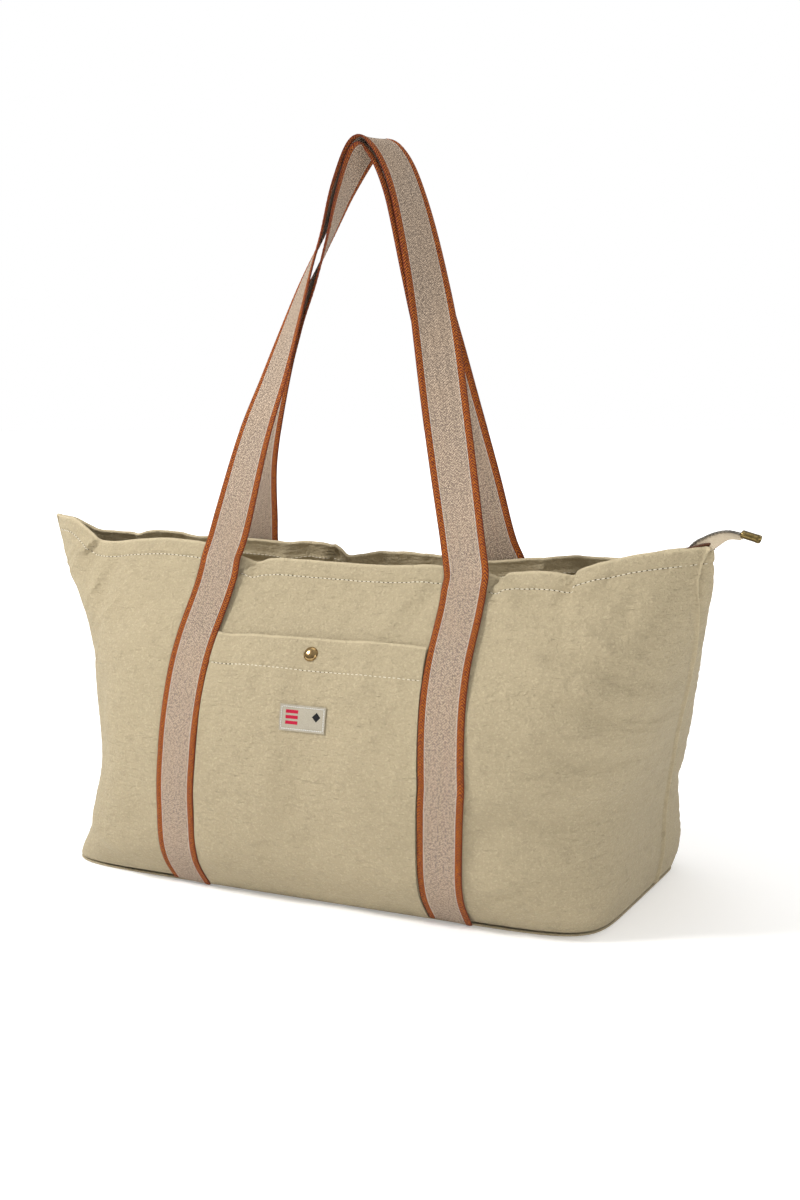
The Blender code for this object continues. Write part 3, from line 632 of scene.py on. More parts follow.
def tape_look(name, colour):
    """Knitted zip tape with fine ribs along its length."""
    look = Look(name, 0.82, sheen=0.15, specular=0.25)
    flat_place, x, y, _ = look.cloth()
    ribs = look.wave(y, 0.0011)
    fuzzy = look.plus(look.times(ribs, 0.3), look.noise(flat_place, 700.0))
    base = look.mix(look.ramp(fuzzy, 0.2, 0.9), shade(colour, 0.78), shade(colour, 1.08))
    normal = look.bump(look.wave(x, 0.0009), 0.00005, 0.6, look.bump(ribs, 0.00008, 0.8))
    return look.finish(base, normal)


def metal_look(name, colour, dark, roughness):
    """Plated metal, a little darker and duller in patches, with fine rub marks."""
    look = Look(name, roughness, metallic=1.0, specular=0.5)
    where = look.where()
    patina = look.noise(where, 240.0, 4.0)
    rub = look.noise(look.stretched(where, (1.0, 0.15, 1.0)), 900.0)
    base = look.mix(look.ramp(patina, 0.40, 0.75), rgb(*colour), rgb(*dark))
    rough = look.plus(look.times(patina, 0.22), roughness - 0.08)
    return look.finish(base, look.bump(rub, 0.00002, 0.5), rough)


def thread_look(name, colour):
    """Twisted sewing thread."""
    look = Look(name, 0.80, sheen=0.04, specular=0.2)
    fuzz = look.noise(look.where(), 2600.0)
    base = look.mix(fuzz, shade(colour, 0.80), rgb(*colour))
    return look.finish(base, look.bump(fuzz, 0.0001, 0.8))


def label_look():
    """Satin-woven label cloth."""
    look = Look("label", 0.70, sheen=0.1, specular=0.35)
    flat_place, x, y, _ = look.cloth()
    weave = look.times(look.wave(x, 0.0004), look.wave(y, 0.0004))
    fuzz = look.noise(flat_place, 800.0, 3.0)
    base = look.mix(fuzz, rgb(0.26, 0.23, 0.175), rgb(0.40, 0.365, 0.285))
    return look.finish(base, look.bump(look.plus(look.times(weave, 0.3), fuzz), 0.00012, 0.8))


def floor_look():
    """Pale studio paper that glows as painted light, more towards its far edge, so that it meets the
    white behind it.
    """
    look = Look("floor", 0.9, specular=0.1)
    where = look.where()
    away = look.node("VectorMath", {0: where}, operation="LENGTH").outputs["Value"]
    # Painted light: the floor's own glow, stronger away from the bag.
    glow = look.mix(look.ramp(away, 0.7, 2.6), rgb(0.20, 0.20, 0.20), rgb(0.75, 0.75, 0.75))
    look.feed(look.shader.inputs["Emission Color"], glow)
    look.shader.inputs["Emission Strength"].default_value = 1.0
    speck = look.noise(where, 30.0, 3.0, 0.5)
    return look.finish(look.mix(speck, rgb(0.90, 0.90, 0.90), rgb(0.92, 0.92, 0.92)))


CANVAS = canvas_look()
WEBBING = webbing_look()
TAPE = tape_look("zip_tape", (0.45, 0.375, 0.270))
STEEL = metal_look("zip_metal", (0.23, 0.21, 0.18), (0.10, 0.09, 0.08), 0.38)
BRASS = metal_look("brass", (0.36, 0.245, 0.11), (0.16, 0.10, 0.045), 0.14)
ANTIQUE = metal_look("antique_brass", (0.20, 0.145, 0.055), (0.055, 0.040, 0.018), 0.26)
LABEL = label_look()
CREAM = thread_look("cream_thread", (0.74, 0.68, 0.55))
PALE = thread_look("white_thread", (0.66, 0.645, 0.61))
RED = thread_look("red_thread", (0.40, 0.008, 0.035))
DARK = thread_look("dark_thread", (0.008, 0.008, 0.009))
# Very dark rust, partly painted shade for the gap at the zip's corner.
RUST_AND_SHADE = tape_look("rust_and_shade_tape", (0.085, 0.030, 0.011))
# Painted shade: the dark colour of the needle holes.
HOLE_SHADE = thread_look("needle_hole_shade", (0.055, 0.038, 0.022))


# ---- stitches ----
def dotted(name, line, outward, look, pitch, first, keep, rings_of):
    """A run of small closed pieces along a line. rings_of gives each one's rings from its number,
    its place and its directions ahead, to the side and up."""
    travelled = travel(line)
    wanted = np.arange(first, travelled[-1], pitch)
    along = unit(resample(line, travelled, wanted + pitch * 0.5)
                 - resample(line, travelled, wanted - pitch * 0.5))
    out = unit(resample(outward, travelled, wanted))
    points, faces = [], []
    for k, (spot, ahead, up) in enumerate(zip(resample(line, travelled, wanted), along, out)):
        if keep is None or keep(spot):
            rings = list(rings_of(k, spot, ahead, unit(np.cross(ahead, up)), up))
            sides = len(rings[0])
            faces += closed_faces(len(rings), sides, shift=len(points) * sides)
            points += rings
    return add_mesh(name, flat(*points), faces, look, smooth=60.0)


# Place along a stitch, and thickness there.
STITCH_RINGS = ((-0.50, 0.15), (-0.46, 0.62), (-0.34, 0.95), (0.0, 1.05), (0.34, 0.95),
                (0.46, 0.62), (0.50, 0.15))


def stitches(name, line, outward, look, pitch=STITCH_PITCH, length=0.0028, radius=THREAD, keep=None):
    """Thread stitches lying on a surface, each a short bowed capsule that dips in at its ends."""
    cosine, sine = circle(6)

    def rings(k, spot, ahead, side, up):
        sway = 0.10 * radius * math.sin(k * 2.4)
        for at, width in STITCH_RINGS:
            rise = radius * (0.55 - 3.2 * at**2 * (1 if abs(at) > 0.4 else 0.4))
            middle = spot + ahead * length * at + up * rise + side * sway * (1 + 8 * at)
            yield middle + radius * width * (cosine * side + sine * up)

    return dotted(name, line, outward, look, pitch, pitch / 2, keep, rings)


def shaded_needle_holes(name, line, outward, look, keep=None):
    """Small dark pits where the stitches go through the cloth, their darkness painted shade."""
    cosine, sine = circle(8)
    radius = 0.00078

    def rings(_, spot, ahead, side, up):
        for height, share in ((-0.30, 0.30), (0.0, 1.0), (0.30, 0.30)):
            yield (spot + radius * share * (1.25 * cosine * ahead + 0.62 * sine * side)
                   + up * radius * height)

    return dotted(name, line, outward, look, STITCH_PITCH, STITCH_PITCH, keep, rings)


def wall_line(side_name, xs, height_of, lift):
    """Line on the displaced wall at heights given along X, with the outward directions."""
    level = np.full_like(xs, 0.93)
    target = height_of(xs)
    for _ in range(12):
        error = target - wall(side_name, xs, level)[..., 2]
        level = np.clip(level + error / RIM_HEIGHT, 0.001, 0.999)
    return on_wall(side_name, xs, level, lift), wall_normal(side_name, xs, level)


# ---- walls ----
PANEL_COLUMNS = 381
SEAM_CROWDING = 0.72         # how much closer the columns stand near the seams
BODY_ROWS, HEM_ROWS = 128, 30
HEM_START = 0.925            # level where the closer rows begin
INSIDE_FLOOR, OUTSIDE_FLOOR = 0.0019, 0.0004        # how low the two faces of a panel may reach


def outline(level):
    """Share of the half width and crown, round one side of a section from seam to seam."""
    power, flatness = float(at_level(END_POWER, level)), float(at_level(ROUNDNESS, level))
    share = np.linspace(0.0, 0.5 ** (1 / power), 240)
    fall = np.linspace(0.5 ** (1 / flatness), 0.0, 160)[1:]
    fraction = np.concatenate([share, (1.0 - fall**flatness) ** (1 / power)])
    crown = np.concatenate([(1.0 - share**power) ** (1 / flatness), fall])
    return np.concatenate([-fraction[:0:-1], fraction]), np.concatenate([crown[:0:-1], crown])


def section(side_name, level, count, lead=0.0):
    """X and crown round a section from seam to seam, closer together near the seams, and the
    travel there. The +X seam lies lead metres short of the CAD's, or past it where it is < 0."""
    fraction, crown = outline(level)
    end = len(fraction) - 1
    if lead < 0.0:
        fraction = np.concatenate([fraction, fraction[-2:-100:-1]])
        crown = np.concatenate([crown, -crown[-2:-100:-1]])
    x = at_level(MIDDLE_X, level) + at_level(HALF_WIDTH, level) * fraction
    travelled = travel(wall_from_crown(side_name, x, crown, level))
    total = travelled[end] - lead
    even = np.linspace(0.0, 1.0, count)
    wanted = (even - SEAM_CROWDING * np.sin(2 * math.pi * even) / (2 * math.pi)) * total
    return np.interp(wanted, travelled, x), np.interp(wanted, travelled, crown), wanted, total


def wall_grid(side_name):
    """Outer surface of a panel, its normals, X, distance from each seam, run and levels."""
    side = SIDES[side_name]
    levels = np.concatenate([np.linspace(0.0, HEM_START, BODY_ROWS, endpoint=False),
                             np.linspace(HEM_START, 1.0, HEM_ROWS)])
    leads = smoothed(np.interp(levels, SEAM_LEAD_LEVELS, SEAM_LEAD)[:, None] * -side, 12)[:, 0]
    rows = []
    for level, lead in zip(levels, leads):
        x, crown, travelled, total = section(side_name, level, PANEL_COLUMNS, lead)
        rows.append((wall_from_crown(side_name, x, crown, level), x,
                     np.minimum(travelled, total - travelled), travelled - total / 2))
    grid, xs, from_seam, run = map(np.array, zip(*rows))
    return grid, grid_normals(grid) * -side, xs, from_seam, run, levels


def sewn_panel(side_name, look):
    """One side of the bag: body, folded hem and the turned edges at the side seams."""
    side = SIDES[side_name]
    grid, normals, xs, from_seam, run, levels = wall_grid(side_name)
    level = np.repeat(levels[:, None], PANEL_COLUMNS, axis=1)
    z = grid[..., 2]
    free = soft_step((from_seam - 0.002) / 0.020)
    below = rim_drop(side_name, xs, grid)
    relief = (soft_relief(side_name, xs, z, level) + crinkle(side_name, xs, z, level)) * free
    relief += hem_shape(side_name, xs, below) * soft_step(from_seam / 0.004)
    # The front panel's edge stands up along the side seam and the rear one's dips under it.
    step = np.where(xs > 0.0, 1.0, 0.35)
    if side == FRONT:
        relief += step * 0.0021 * bell(from_seam - 0.0011, 0.0015)
        relief -= step * 0.0007 * bell(from_seam - 0.0060, 0.0030)
    else:
        relief -= step * 0.0017 * bell(from_seam, 0.0032)
    relief -= 0.0012 * bell(z - BASE_TOP, 0.0016)
    outer = grid + normals * relief[..., None]
    # Canvas thickness: one layer in the body and a folded double one down to the stitching.
    layers = 1.0 + (HEM_LAYERS - 1.0) * soft_step((HEM_DEPTH + 0.0045 - below) / 0.0015)
    inner = outer - normals * (FABRIC * layers)[..., None]
    inner[..., 2] = np.maximum(inner[..., 2], INSIDE_FLOOR)
    outer[..., 2] = np.maximum(outer[..., 2], OUTSIDE_FLOOR)
    # The rim's fold: half a turn from the outer face to the inner one.
    turns = np.linspace(0.0, math.pi, 6)[1:-1]
    top, bottom = outer[-1], inner[-1]
    middle, half = (top + bottom) / 2, np.linalg.norm(top - bottom, axis=1)[:, None] / 2
    away = unit(top - bottom)
    fold = [middle + away * half * math.cos(t) + UP * half * math.sin(t) * 0.9 for t in turns]
    down = np.concatenate([np.arange(len(levels) - 1, BODY_ROWS, -1), np.arange(BODY_ROWS, -1, -2)])
    if down[-1] != 0:
        down = np.append(down, 0)
    stations = np.concatenate([outer, np.array(fold), inner[down]])
    columns = PANEL_COLUMNS
    faces = ring_faces(len(stations), columns, closed=False)
    last = (len(stations) - 1) * columns
    faces += [(j, j + 1, last + j + 1, last + j) for j in range(columns - 1)]
    top_row, first_inner = len(levels) - 1, len(levels) + len(fold)
    for column in (0, columns - 1):
        for k in range(len(down) - 1):
            high, low = down[k], down[k + 1]
            cap = [r * columns + column for r in range(low, high + 1)]
            cap += [(top_row + 1 + m) * columns + column for m in range(len(fold))] * (k == 0)
            cap += [(first_inner + k) * columns + column, (first_inner + k + 1) * columns + column]
            faces.append(tuple(cap))
    flat_run = np.concatenate([run, np.repeat(run[-1:], len(fold), axis=0), run[down]])
    # Painted light: a painted highlight along the rim's fold and the seam's raised edge, painted shade
    # deep in the seam.
    painted_light_and_shade = 0.8 * bell(below, 0.0011) - side * bell(from_seam, 0.0013)
    painted_light_and_shade = np.concatenate([painted_light_and_shade, np.full((len(fold), columns), 0.8), 0.0 * painted_light_and_shade[down]])
    cloth = flat(vec(flat_run, stations[..., 2], painted_light_and_shade))
    return add_mesh(f"{side_name}_panel_cloth", flat(stations), faces, look, cloth, smooth=65.0)


def base_cloth(look):
    """Soft base with a rounded edge."""
    edges = []
    for side_name in SIDES:
        x, crown, _, _ = section(side_name, 0.0, 161)
        edges.append(wall_from_crown(side_name, x, crown, 0.0))
    edge = np.concatenate([edges[0], edges[1][-2:0:-1]])
    middle = np.array((MIDDLE_X[0], 0.0, 0.0))
    shrink = (0.02, 0.15, 0.35, 0.55, 0.75, 0.90, 0.965, 0.985, 0.993)
    rims = [(share, 0.0) for share in shrink]
    rims += [(0.9965, 0.0002), (0.9985, 0.0008), (0.9965, 0.0014)]
    rims += [(share, 0.0017) for share in shrink[::-1]]
    rings = []
    for share, height in rims:
        ring = middle + (edge - middle) * share
        ring[:, 2] = height
        rings.append(ring)
    return tube("base_cloth", rings, look, flat(*rings))


# ---- webbing ----
# Middle line of each handle, from its left foot to its right one.
LOOP_POINTS = {
    "front": ((-0.0900, -0.1045, 0.305), (-0.0745, -0.0890, 0.383), (-0.0580, -0.0795, 0.437),
              (-0.0370, -0.0660, 0.512), (-0.0235, -0.0600, 0.550), (-0.0100, -0.0520, 0.593),
              (0.0090, -0.0450, 0.6265), (0.0300, -0.0460, 0.6215), (0.0530, -0.0535, 0.582),
              (0.0800, -0.0685, 0.497), (0.1040, -0.0870, 0.394), (0.1250, -0.1045, 0.305)),
    "rear": ((-0.1050, -0.0290, 0.305), (-0.0990, -0.0350, 0.365), (-0.0770, -0.0440, 0.432),
             (-0.0545, -0.0515, 0.478), (-0.0330, -0.0590, 0.511), (-0.0188, -0.0575, 0.546),
             (-0.0055, -0.0505, 0.588), (0.0105, -0.0455, 0.6205), (0.0270, -0.0465, 0.6160),
             (0.0480, -0.0540, 0.580), (0.0750, -0.0635, 0.500), (0.0910, -0.0480, 0.424),
             (0.1080, -0.0350, 0.353), (0.1215, -0.0290, 0.300)),
}
# Turn of the handles' webbing about the vertical, in degrees, at shares of their length.
TWIST_AT = (0.0, 0.05, 0.15, 0.23, 0.31, 0.38, 0.44, 0.50, 0.57, 0.67, 0.79, 0.94, 1.0)
TWIST = (0.0, 0.0, -15.0, -28.0, -46.0, -66.0, -86.0, -111.0, -114.0, -130.0, -158.0, -180.0,
         -180.0)


BAND_STEP = 0.0020          # length of one row of the webbing's mesh
BAND_FREE = 0.0040          # the band stops hugging the wall this far short of the handle


def even_line(points, count):
    """Evenly spaced points of a smooth curve through a few given points."""
    points = np.array(points, dtype=float)
    padded = np.vstack([2 * points[0] - points[1], points, 2 * points[-1] - points[-2]])
    t = np.linspace(0.0, 1.0, 24, endpoint=False)[:, None]
    fine = [0.5 * (2 * b + (c - a) * t + (2 * a - 5 * b + 4 * c - d) * t**2
                   + (3 * b - a - 3 * c + d) * t**3)
            for a, b, c, d in zip(padded, padded[1:], padded[2:], padded[3:])]
    fine = np.vstack([*fine, points[-1]])
    travelled = travel(fine)
    return resample(fine, travelled, np.linspace(0.0, travelled[-1], count))


def loop_frame(side_name):
    """Middle line of a handle above the rim, with its directions across the band."""
    feet = []
    for hand in ("left", "right"):
        x = strap_x(side_name, hand, HINGE_LEVEL)
        feet.append([on_wall(side_name, x, level, STRAP_LIFT + 0.0010 + room, fine=0.0)
                     for level, room in ((HINGE_LEVEL + 0.0060, 0.0006), (0.985, 0.0012))])
    line = even_line([*feet[0], *LOOP_POINTS[side_name], *feet[1][::-1]], 420)
    turn = np.radians(np.interp(np.linspace(0.0, 1.0, len(line)), TWIST_AT, TWIST))
    return line, vec(np.cos(turn), np.sin(turn), 0.0)


def strap_frame(side_name, hand):
    """Middle line of a strap from the base up to the hinge, with its directions across."""
    level = np.linspace(0.004, HINGE_LEVEL - 0.004, 150)
    x = strap_x(side_name, hand, level)
    line = on_wall(side_name, x, level, STRAP_LIFT + 0.0008, fine=0.0)
    step = WEBBING_WIDTH / 4
    across = unit(on_wall(side_name, x + step, level, STRAP_LIFT, fine=0.0)
                  - on_wall(side_name, x - step, level, STRAP_LIFT, fine=0.0))
    return line, across


def smoothed(values, rounds):
    """Running average that keeps the ends."""
    for _ in range(rounds):
        middle = (values[:-2] + 2 * values[1:-1] + values[2:]) / 4
        values = np.vstack([values[:1], middle, values[-1:]])
    return values


def band_section():
    """Outline of the webbing's section: places across, and half thickness there."""
    edge = WEBBING_WIDTH / 2
    places = np.concatenate([np.linspace(-edge, -edge + STRIPE, 7),
                             np.linspace(-edge + STRIPE, edge - STRIPE, 12)[1:-1],
                             np.linspace(edge - STRIPE, edge, 7)])
    into = (edge - abs(places)) / STRIPE
    half = 0.00078 + 0.00030 * np.sin(np.pi * np.clip(into, 0.0, 1.0)) * (into < 1.0)
    half *= np.sqrt(np.clip(1.0 - (1.0 - np.clip(into / 0.35, 0.0, 1.0)) ** 2, 0.06, 1.0))
    half -= 0.00012 * bell(into - 1.0, 0.08)
    return places, half


def webbing_band(side_name, look):
    """One length of webbing: up the left strap, round the handle and down the right strap."""
    loop, loop_across = loop_frame(side_name)
    left, left_across = strap_frame(side_name, "left")
    right, right_across = strap_frame(side_name, "right")
    line = np.vstack([left, loop, right[::-1]])
    across = np.vstack([left_across, loop_across, -right_across[::-1]])
    travelled = travel(line)
    wanted = np.linspace(0.0, travelled[-1], int(travelled[-1] / BAND_STEP))
    line = smoothed(resample(line, travelled, wanted), 6)
    across = smoothed(resample(across, travelled, wanted), 14)
    along = unit(np.gradient(line, axis=0))
    across = unit(across - along * np.sum(across * along, axis=1, keepdims=True))
    facing = np.cross(across, along)
    places, half = band_section()
    on_strap = wanted < travelled[len(left) - 1] - BAND_FREE
    on_strap |= wanted > travelled[len(left) + len(loop)] + BAND_FREE
    hug = smoothed(on_strap.astype(float)[:, None], 6)[:, 0]
    ribs = 1.0 + 0.10 * np.sin(2 * math.pi * wanted / 0.0048)
    outward = SIDES[side_name] * ACROSS
    rings, cloth = [], []
    for i, (x, _, z) in enumerate(line):
        points = line[i] + across[i] * places[:, None]
        if hug[i] > 0.01:
            level = np.clip(level_at_height(x, z), 0.0, 1.0)
            bend = ((wall(side_name, points[:, 0], level) - wall(side_name, x, level)) @ outward
                    - (points - line[i]) @ outward)
            points = points + outward * (bend * hug[i])[:, None]
        thick = half * np.where(abs(places) > WEBBING_WIDTH / 2 - STRIPE, ribs[i], 1.0)
        lift = facing[i] * thick[:, None]
        rings.append(np.vstack([points + lift, (points - lift)[::-1]]))
        flat_place = vec(wanted[i], places, 0.0)
        cloth.append(np.vstack([flat_place, flat_place[::-1]]))
    return tube(f"{side_name}_webbing", rings, look, flat(*cloth), smooth=60.0)


# ---- pocket ----
def pocket_reach(level):
    room = WEBBING_WIDTH / 2 + 0.0006
    return strap_x("front", "left", level) + room, strap_x("front", "right", level) - room


def pocket_lift(x, level):
    """The pocket lies on the wall at its edges and at the snap, and swells between them."""
    left, right = pocket_reach(level)
    at = 2.0 * (x - left) / (right - left) - 1.0
    mouth = level_at_height(0.0, POCKET_TOP)
    rise = np.sin(0.5 * math.pi * np.minimum(level / mouth, 1.0)) ** 2
    return 0.0011 + (0.0017 * np.cos(0.5 * math.pi * at) ** 2
                     + POCKET_SWELL * np.sin(math.pi * at) ** 2) * rise


def pocket_top(x):
    """Height of the pocket's edge, which sags a little between the straps."""
    return POCKET_TOP + 0.0005 * np.sin((x - 0.01) / 0.030) + 0.0002 * np.sin(x / 0.011)


def pocket_point(x, level, extra=0.0):
    """Middle of the pocket's cloth."""
    z = wall("front", x, level)[..., 2]
    above_seam = z - POCKET_HEM_BOTTOM
    shape = 0.00045 * noise2(x / 0.0075, z / 0.030, 91) * bell(z - 0.212, 0.016)
    shape = shape + 0.0007 * noise2(x / 0.020, z / 0.026, 92)
    gather = 0.00035 * noise2(x / 0.0035, z / 0.03, 93) * bell(above_seam, 0.006)
    hem = 0.0004 * soft_step(above_seam / 0.003)
    lift = (pocket_lift(x, level) + 0.0009 + shape + hem - 0.0005 * bell(above_seam, 0.0014)
            + gather + extra)
    return on_wall("front", x, level, lift, fine=0.8)


def pocket_cloth(look):
    """Patch pocket between the front straps, with its deep folded hem."""
    top_level, hem_level = (level_at_height(0.0, z) for z in (POCKET_TOP, POCKET_HEM_BOTTOM))
    levels = np.concatenate([np.linspace(0.004, hem_level - 0.02, 84, endpoint=False),
                             np.linspace(hem_level - 0.02, top_level, 40)])[:, None]
    rows, columns = len(levels), 111
    x = np.linspace(*pocket_reach(levels[:, 0]), columns, axis=1)
    goal = (pocket_top(x) - BASE_TOP) / (POCKET_TOP - BASE_TOP)
    middle = pocket_point(x, levels * (1.0 + (goal - 1.0) * soft_step((levels - hem_level) / 0.06)))
    i, j = np.mgrid[0:rows, 0:columns]
    from_top = rows - 1 - i
    # The third part paints a highlight along the pocket's top edge.
    cloth = vec(x, levels * RIM_HEIGHT, np.where(from_top < 3, 0.7, 0.0))
    hem = soft_step((middle[..., 2] - POCKET_HEM_BOTTOM) / 0.0012)
    inset = np.minimum(from_top, np.minimum(j, columns - 1 - j) + 1)
    half = grid_normals(middle) * ((0.00055 + 0.00045 * hem) * dome((inset + 0.3) / 2.5))[..., None]
    return slab("pocket_cloth", middle + half, middle - half, look, cloth, smooth=70.0)


# ---- snap and label ----
def snap_button(look):
    """Domed cap with a rolled rim, turned round its axis and seated in the hem."""
    x, z = SNAP_AT
    level = level_at_height(x, z)
    axis = wall_normal("front", x, level)
    seat = pocket_point(x, level) + axis * 0.0006
    roll = [(0.00565 + 0.00060 * math.sin(a), 0.00075 - 0.00060 * math.cos(a))
            for a in np.radians(np.linspace(0, 180, 9))]
    crown = [(0.00565 * math.cos(a), 0.0011 + 0.0020 * math.sin(a))
             for a in np.radians(np.linspace(6, 88, 14))]
    side = unit(np.cross(axis, (1.0, 0.0, 0.0)))
    other = np.cross(axis, side)
    cosine, sine = circle(48)
    return tube("snap_button", [
        seat + axis * height + radius * (cosine * side + sine * other)
        for radius, height in [(0.0006, 0.0), (0.0050, 0.0)] + roll + [(0.00548, 0.00112)] + crown],
        look)


def label_place(u, v, lift):
    """Point on the label: u and v run over its face in metres, from its middle."""
    return pocket_point(LABEL_AT[0] + u, level_at_height(LABEL_AT[0], LABEL_AT[1] + v), lift)


def woven_label(look):
    half_wide, half_high = LABEL_SIZE[0] / 2, LABEL_SIZE[1] / 2
    u, v = np.meshgrid(np.linspace(-half_wide, half_wide, 41), np.linspace(-half_high, half_high, 23))
    edge = np.minimum(half_wide - abs(u), half_high - abs(v))
    dip = -0.00030 * bell(edge - LABEL_INSET, 0.0007)
    curl = 0.0004 * bell(edge, 0.0012)
    middle = label_place(u, v, 0.00125 + dip + curl)
    return soft_slab("woven_label", middle, 0.0007, look, vec(u, v, 0.0), roll=3, face_up=False)


def label_threads():
    """Border stitching of the label."""
    w, h = LABEL_SIZE[0] / 2 - LABEL_INSET, LABEL_SIZE[1] / 2 - LABEL_INSET
    corners = np.array([(-w, -h), (w, -h), (w, h), (-w, h), (-w, -h)])
    t = np.linspace(0.0, 1.0, 40)[:, None]
    out = np.repeat(wall_normal("front", LABEL_AT[0], 0.57)[None], len(t), axis=0)
    for index, (start, end) in enumerate(zip(corners, corners[1:])):
        u, v = (start + (end - start) * t).T
        yield stitches(f"label_stitch_{index}", label_place(u, v, 0.00150), out, PALE, pitch=0.0019,
                       length=0.0017)


def woven_bar(name, middle, length, height, look, tilt=0.0):
    """Raised satin bar woven into the label."""
    u, v = np.meshgrid(np.linspace(-0.5, 0.5, 13), np.linspace(-0.5, 0.5, 5))
    turn = math.radians(tilt)
    du, dv = u * length, v * height
    grid = label_place(middle[0] + du * math.cos(turn) - dv * math.sin(turn),
                       middle[1] + du * math.sin(turn) + dv * math.cos(turn),
                       0.00168 + 0.00016 * (1.0 - (2 * v) ** 2))
    return slab(name, grid, grid - grid_normals(grid) * 0.00030, look)


# ---- zip ----
def wall_inside(side_name, x, height, room=0.0009):
    """Distance from the zip's middle to just inside the wall, at a height."""
    level = level_at_height(x, height)
    return abs(on_wall(side_name, x, level)[..., 1] - ZIP_Y) - room


def recess_height(distance, x):
    """Height of the cloth round the zip: it sags a little between the zip and the wall."""
    sag = np.sin(math.pi * np.clip((distance - 0.008) / 0.036, 0.0, 1.0))
    return ZIP_Z + 0.0012 - 0.0022 * sag + 0.0006 * noise2(x / 0.022, distance / 0.016, 61) * sag


def recess_strip(name, side_name, x, inner, outer, steps, sink, thickness, look):
    """Canvas beside the zip, between two distances from its middle, sunk below its height."""
    distance = inner + (outer - inner) * np.linspace(0.0, 1.0, steps)[:, None]
    middle = vec(x, ZIP_Y + SIDES[side_name] * distance, recess_height(distance, x) - sink)
    return soft_slab(name, middle, thickness, look, vec(x, distance, 0.0))


def zip_cloth(side_name, look):
    """Strip of canvas from the wall to the zip, folded under along the tape."""
    x = np.linspace(-FLAP_END_X, FLAP_END_X, 181)
    taper = np.interp(abs(x), (0.0, 0.165, FLAP_END_X), (0.0600, 0.0480, 0.0230))
    outer = np.minimum(taper, wall_inside(side_name, x, ZIP_Z + 0.0012))
    inner = 0.0078 + 0.0003 * np.sin(x / 0.012)
    return recess_strip(f"zip_cloth_{side_name}", side_name, x, inner, outer, 17, 0.0, 0.0013, look)


def recess_corner(side_name, hand, look):
    """Canvas sewn between the wall and the end of the zip, just under the flap."""
    x = np.linspace(*{"left": (-0.1500, -0.2780), "right": (0.1500, 0.2960)}[hand], 61)
    sink = 0.0030 - soft_step((x - 0.240) / 0.055) * 0.024
    outer = wall_inside(side_name, x, ZIP_Z)
    outer = wall_inside(side_name, x, recess_height(outer, x) - sink)
    inner = np.minimum(np.interp(abs(x), (0.150, 0.170, 0.226, 0.300),
                                 (0.0400, 0.0350, 0.0080, 0.0060)), outer - 0.0010)
    return recess_strip(f"recess_cloth_{side_name}_{hand}", side_name, x, inner, outer, 13, sink,
                        0.0012, look)


def tape_strip(name, side, x_start, x_end, look):
    """Flat zip tape with a thicker cord at its inner edge, which the teeth clasp."""
    x = np.linspace(x_start, x_end, max(int(abs(x_end - x_start) / 0.004), 8))
    distance = np.concatenate([np.linspace(0.0024, 0.0042, 7), np.linspace(0.0050, TAPE_REACH, 9)])
    d, xs = np.meshgrid(distance, x, indexing="ij")
    cord = 0.0005 * np.sqrt(np.clip(1.0 - ((d - 0.0033) / 0.0011) ** 2, 0.0, 1.0))
    middle = vec(xs, ZIP_Y + side * d, TOOTH_Z)
    lift = UP * (0.00035 + cord)[..., None]
    return slab(name, middle + lift, middle - lift, look, vec(xs, d, 0.0))


# Outline of a tooth from above, as (reach out to the tape, place along the zip), and its layers as
# (height, share of the outline).
TOOTH_PLAN = ((0.0031, -0.00095), (0.0031, 0.00095), (0.0022, 0.00100), (0.0009, 0.00055),
              (0.0, 0.00062), (-0.0008, 0.00078), (-0.0014, 0.00045), (-0.0014, -0.00045),
              (-0.0008, -0.00078), (0.0, -0.00062), (0.0009, -0.00055), (0.0022, -0.00100))
TOOTH_LAYERS = ((-0.00115, 0.72), (-0.00085, 1.0), (0.00085, 1.0), (0.00115, 0.72))
ZIP_PITCH, TOOTH_Z = 0.0030, ZIP_Z - 0.0003


def teeth(name, frames, look, scale=1.0):
    """Metal teeth. Each frame is (place, direction along the zip, direction out to the tape, up)."""
    plan = np.array(TOOTH_PLAN) * (scale, 1.0)
    centre = plan.mean(axis=0)
    rings, faces = [], []
    for spot, along, outward, up in frames:
        faces += closed_faces(len(TOOTH_LAYERS), len(plan), shift=len(rings) * len(plan))
        for height, share in TOOTH_LAYERS:
            reach, width = (centre + (plan - centre) * share).T[..., None]
            rings.append(spot + outward * reach + along * width + up * height * scale)
    return add_mesh(name, flat(*rings), faces, look, smooth=35.0)


def flat_teeth_frames(side, x_start, x_end):
    shift = ZIP_PITCH / 2 if side == REAR else 0.0
    along = np.array((1.0, 0.0, 0.0))
    return [(np.array((x_start + 0.0010 + shift + k * ZIP_PITCH, ZIP_Y, TOOTH_Z)), along,
             side * ACROSS, UP) for k in range(int((x_end - x_start) / ZIP_PITCH))]


# X and Z of the zip's end, from where it leaves the level run to its cap.
TAIL_POINTS = ((0.2262, ZIP_Z), (0.2440, 0.2625), (0.2620, 0.2655), (0.2800, 0.2845),
               (0.2985, 0.3088), (0.3090, 0.3160), (0.3180, 0.3198), (0.3270, 0.3212),
               (0.3378, 0.3196))


def tail_path(count):
    """Crest of the bent zip end, the direction along it and up from it, and its travel."""
    line = even_line([(x, ZIP_Y, z) for x, z in TAIL_POINTS], count)
    along = unit(np.gradient(line, axis=0))
    return line, along, np.cross(along, ACROSS), travel(line)


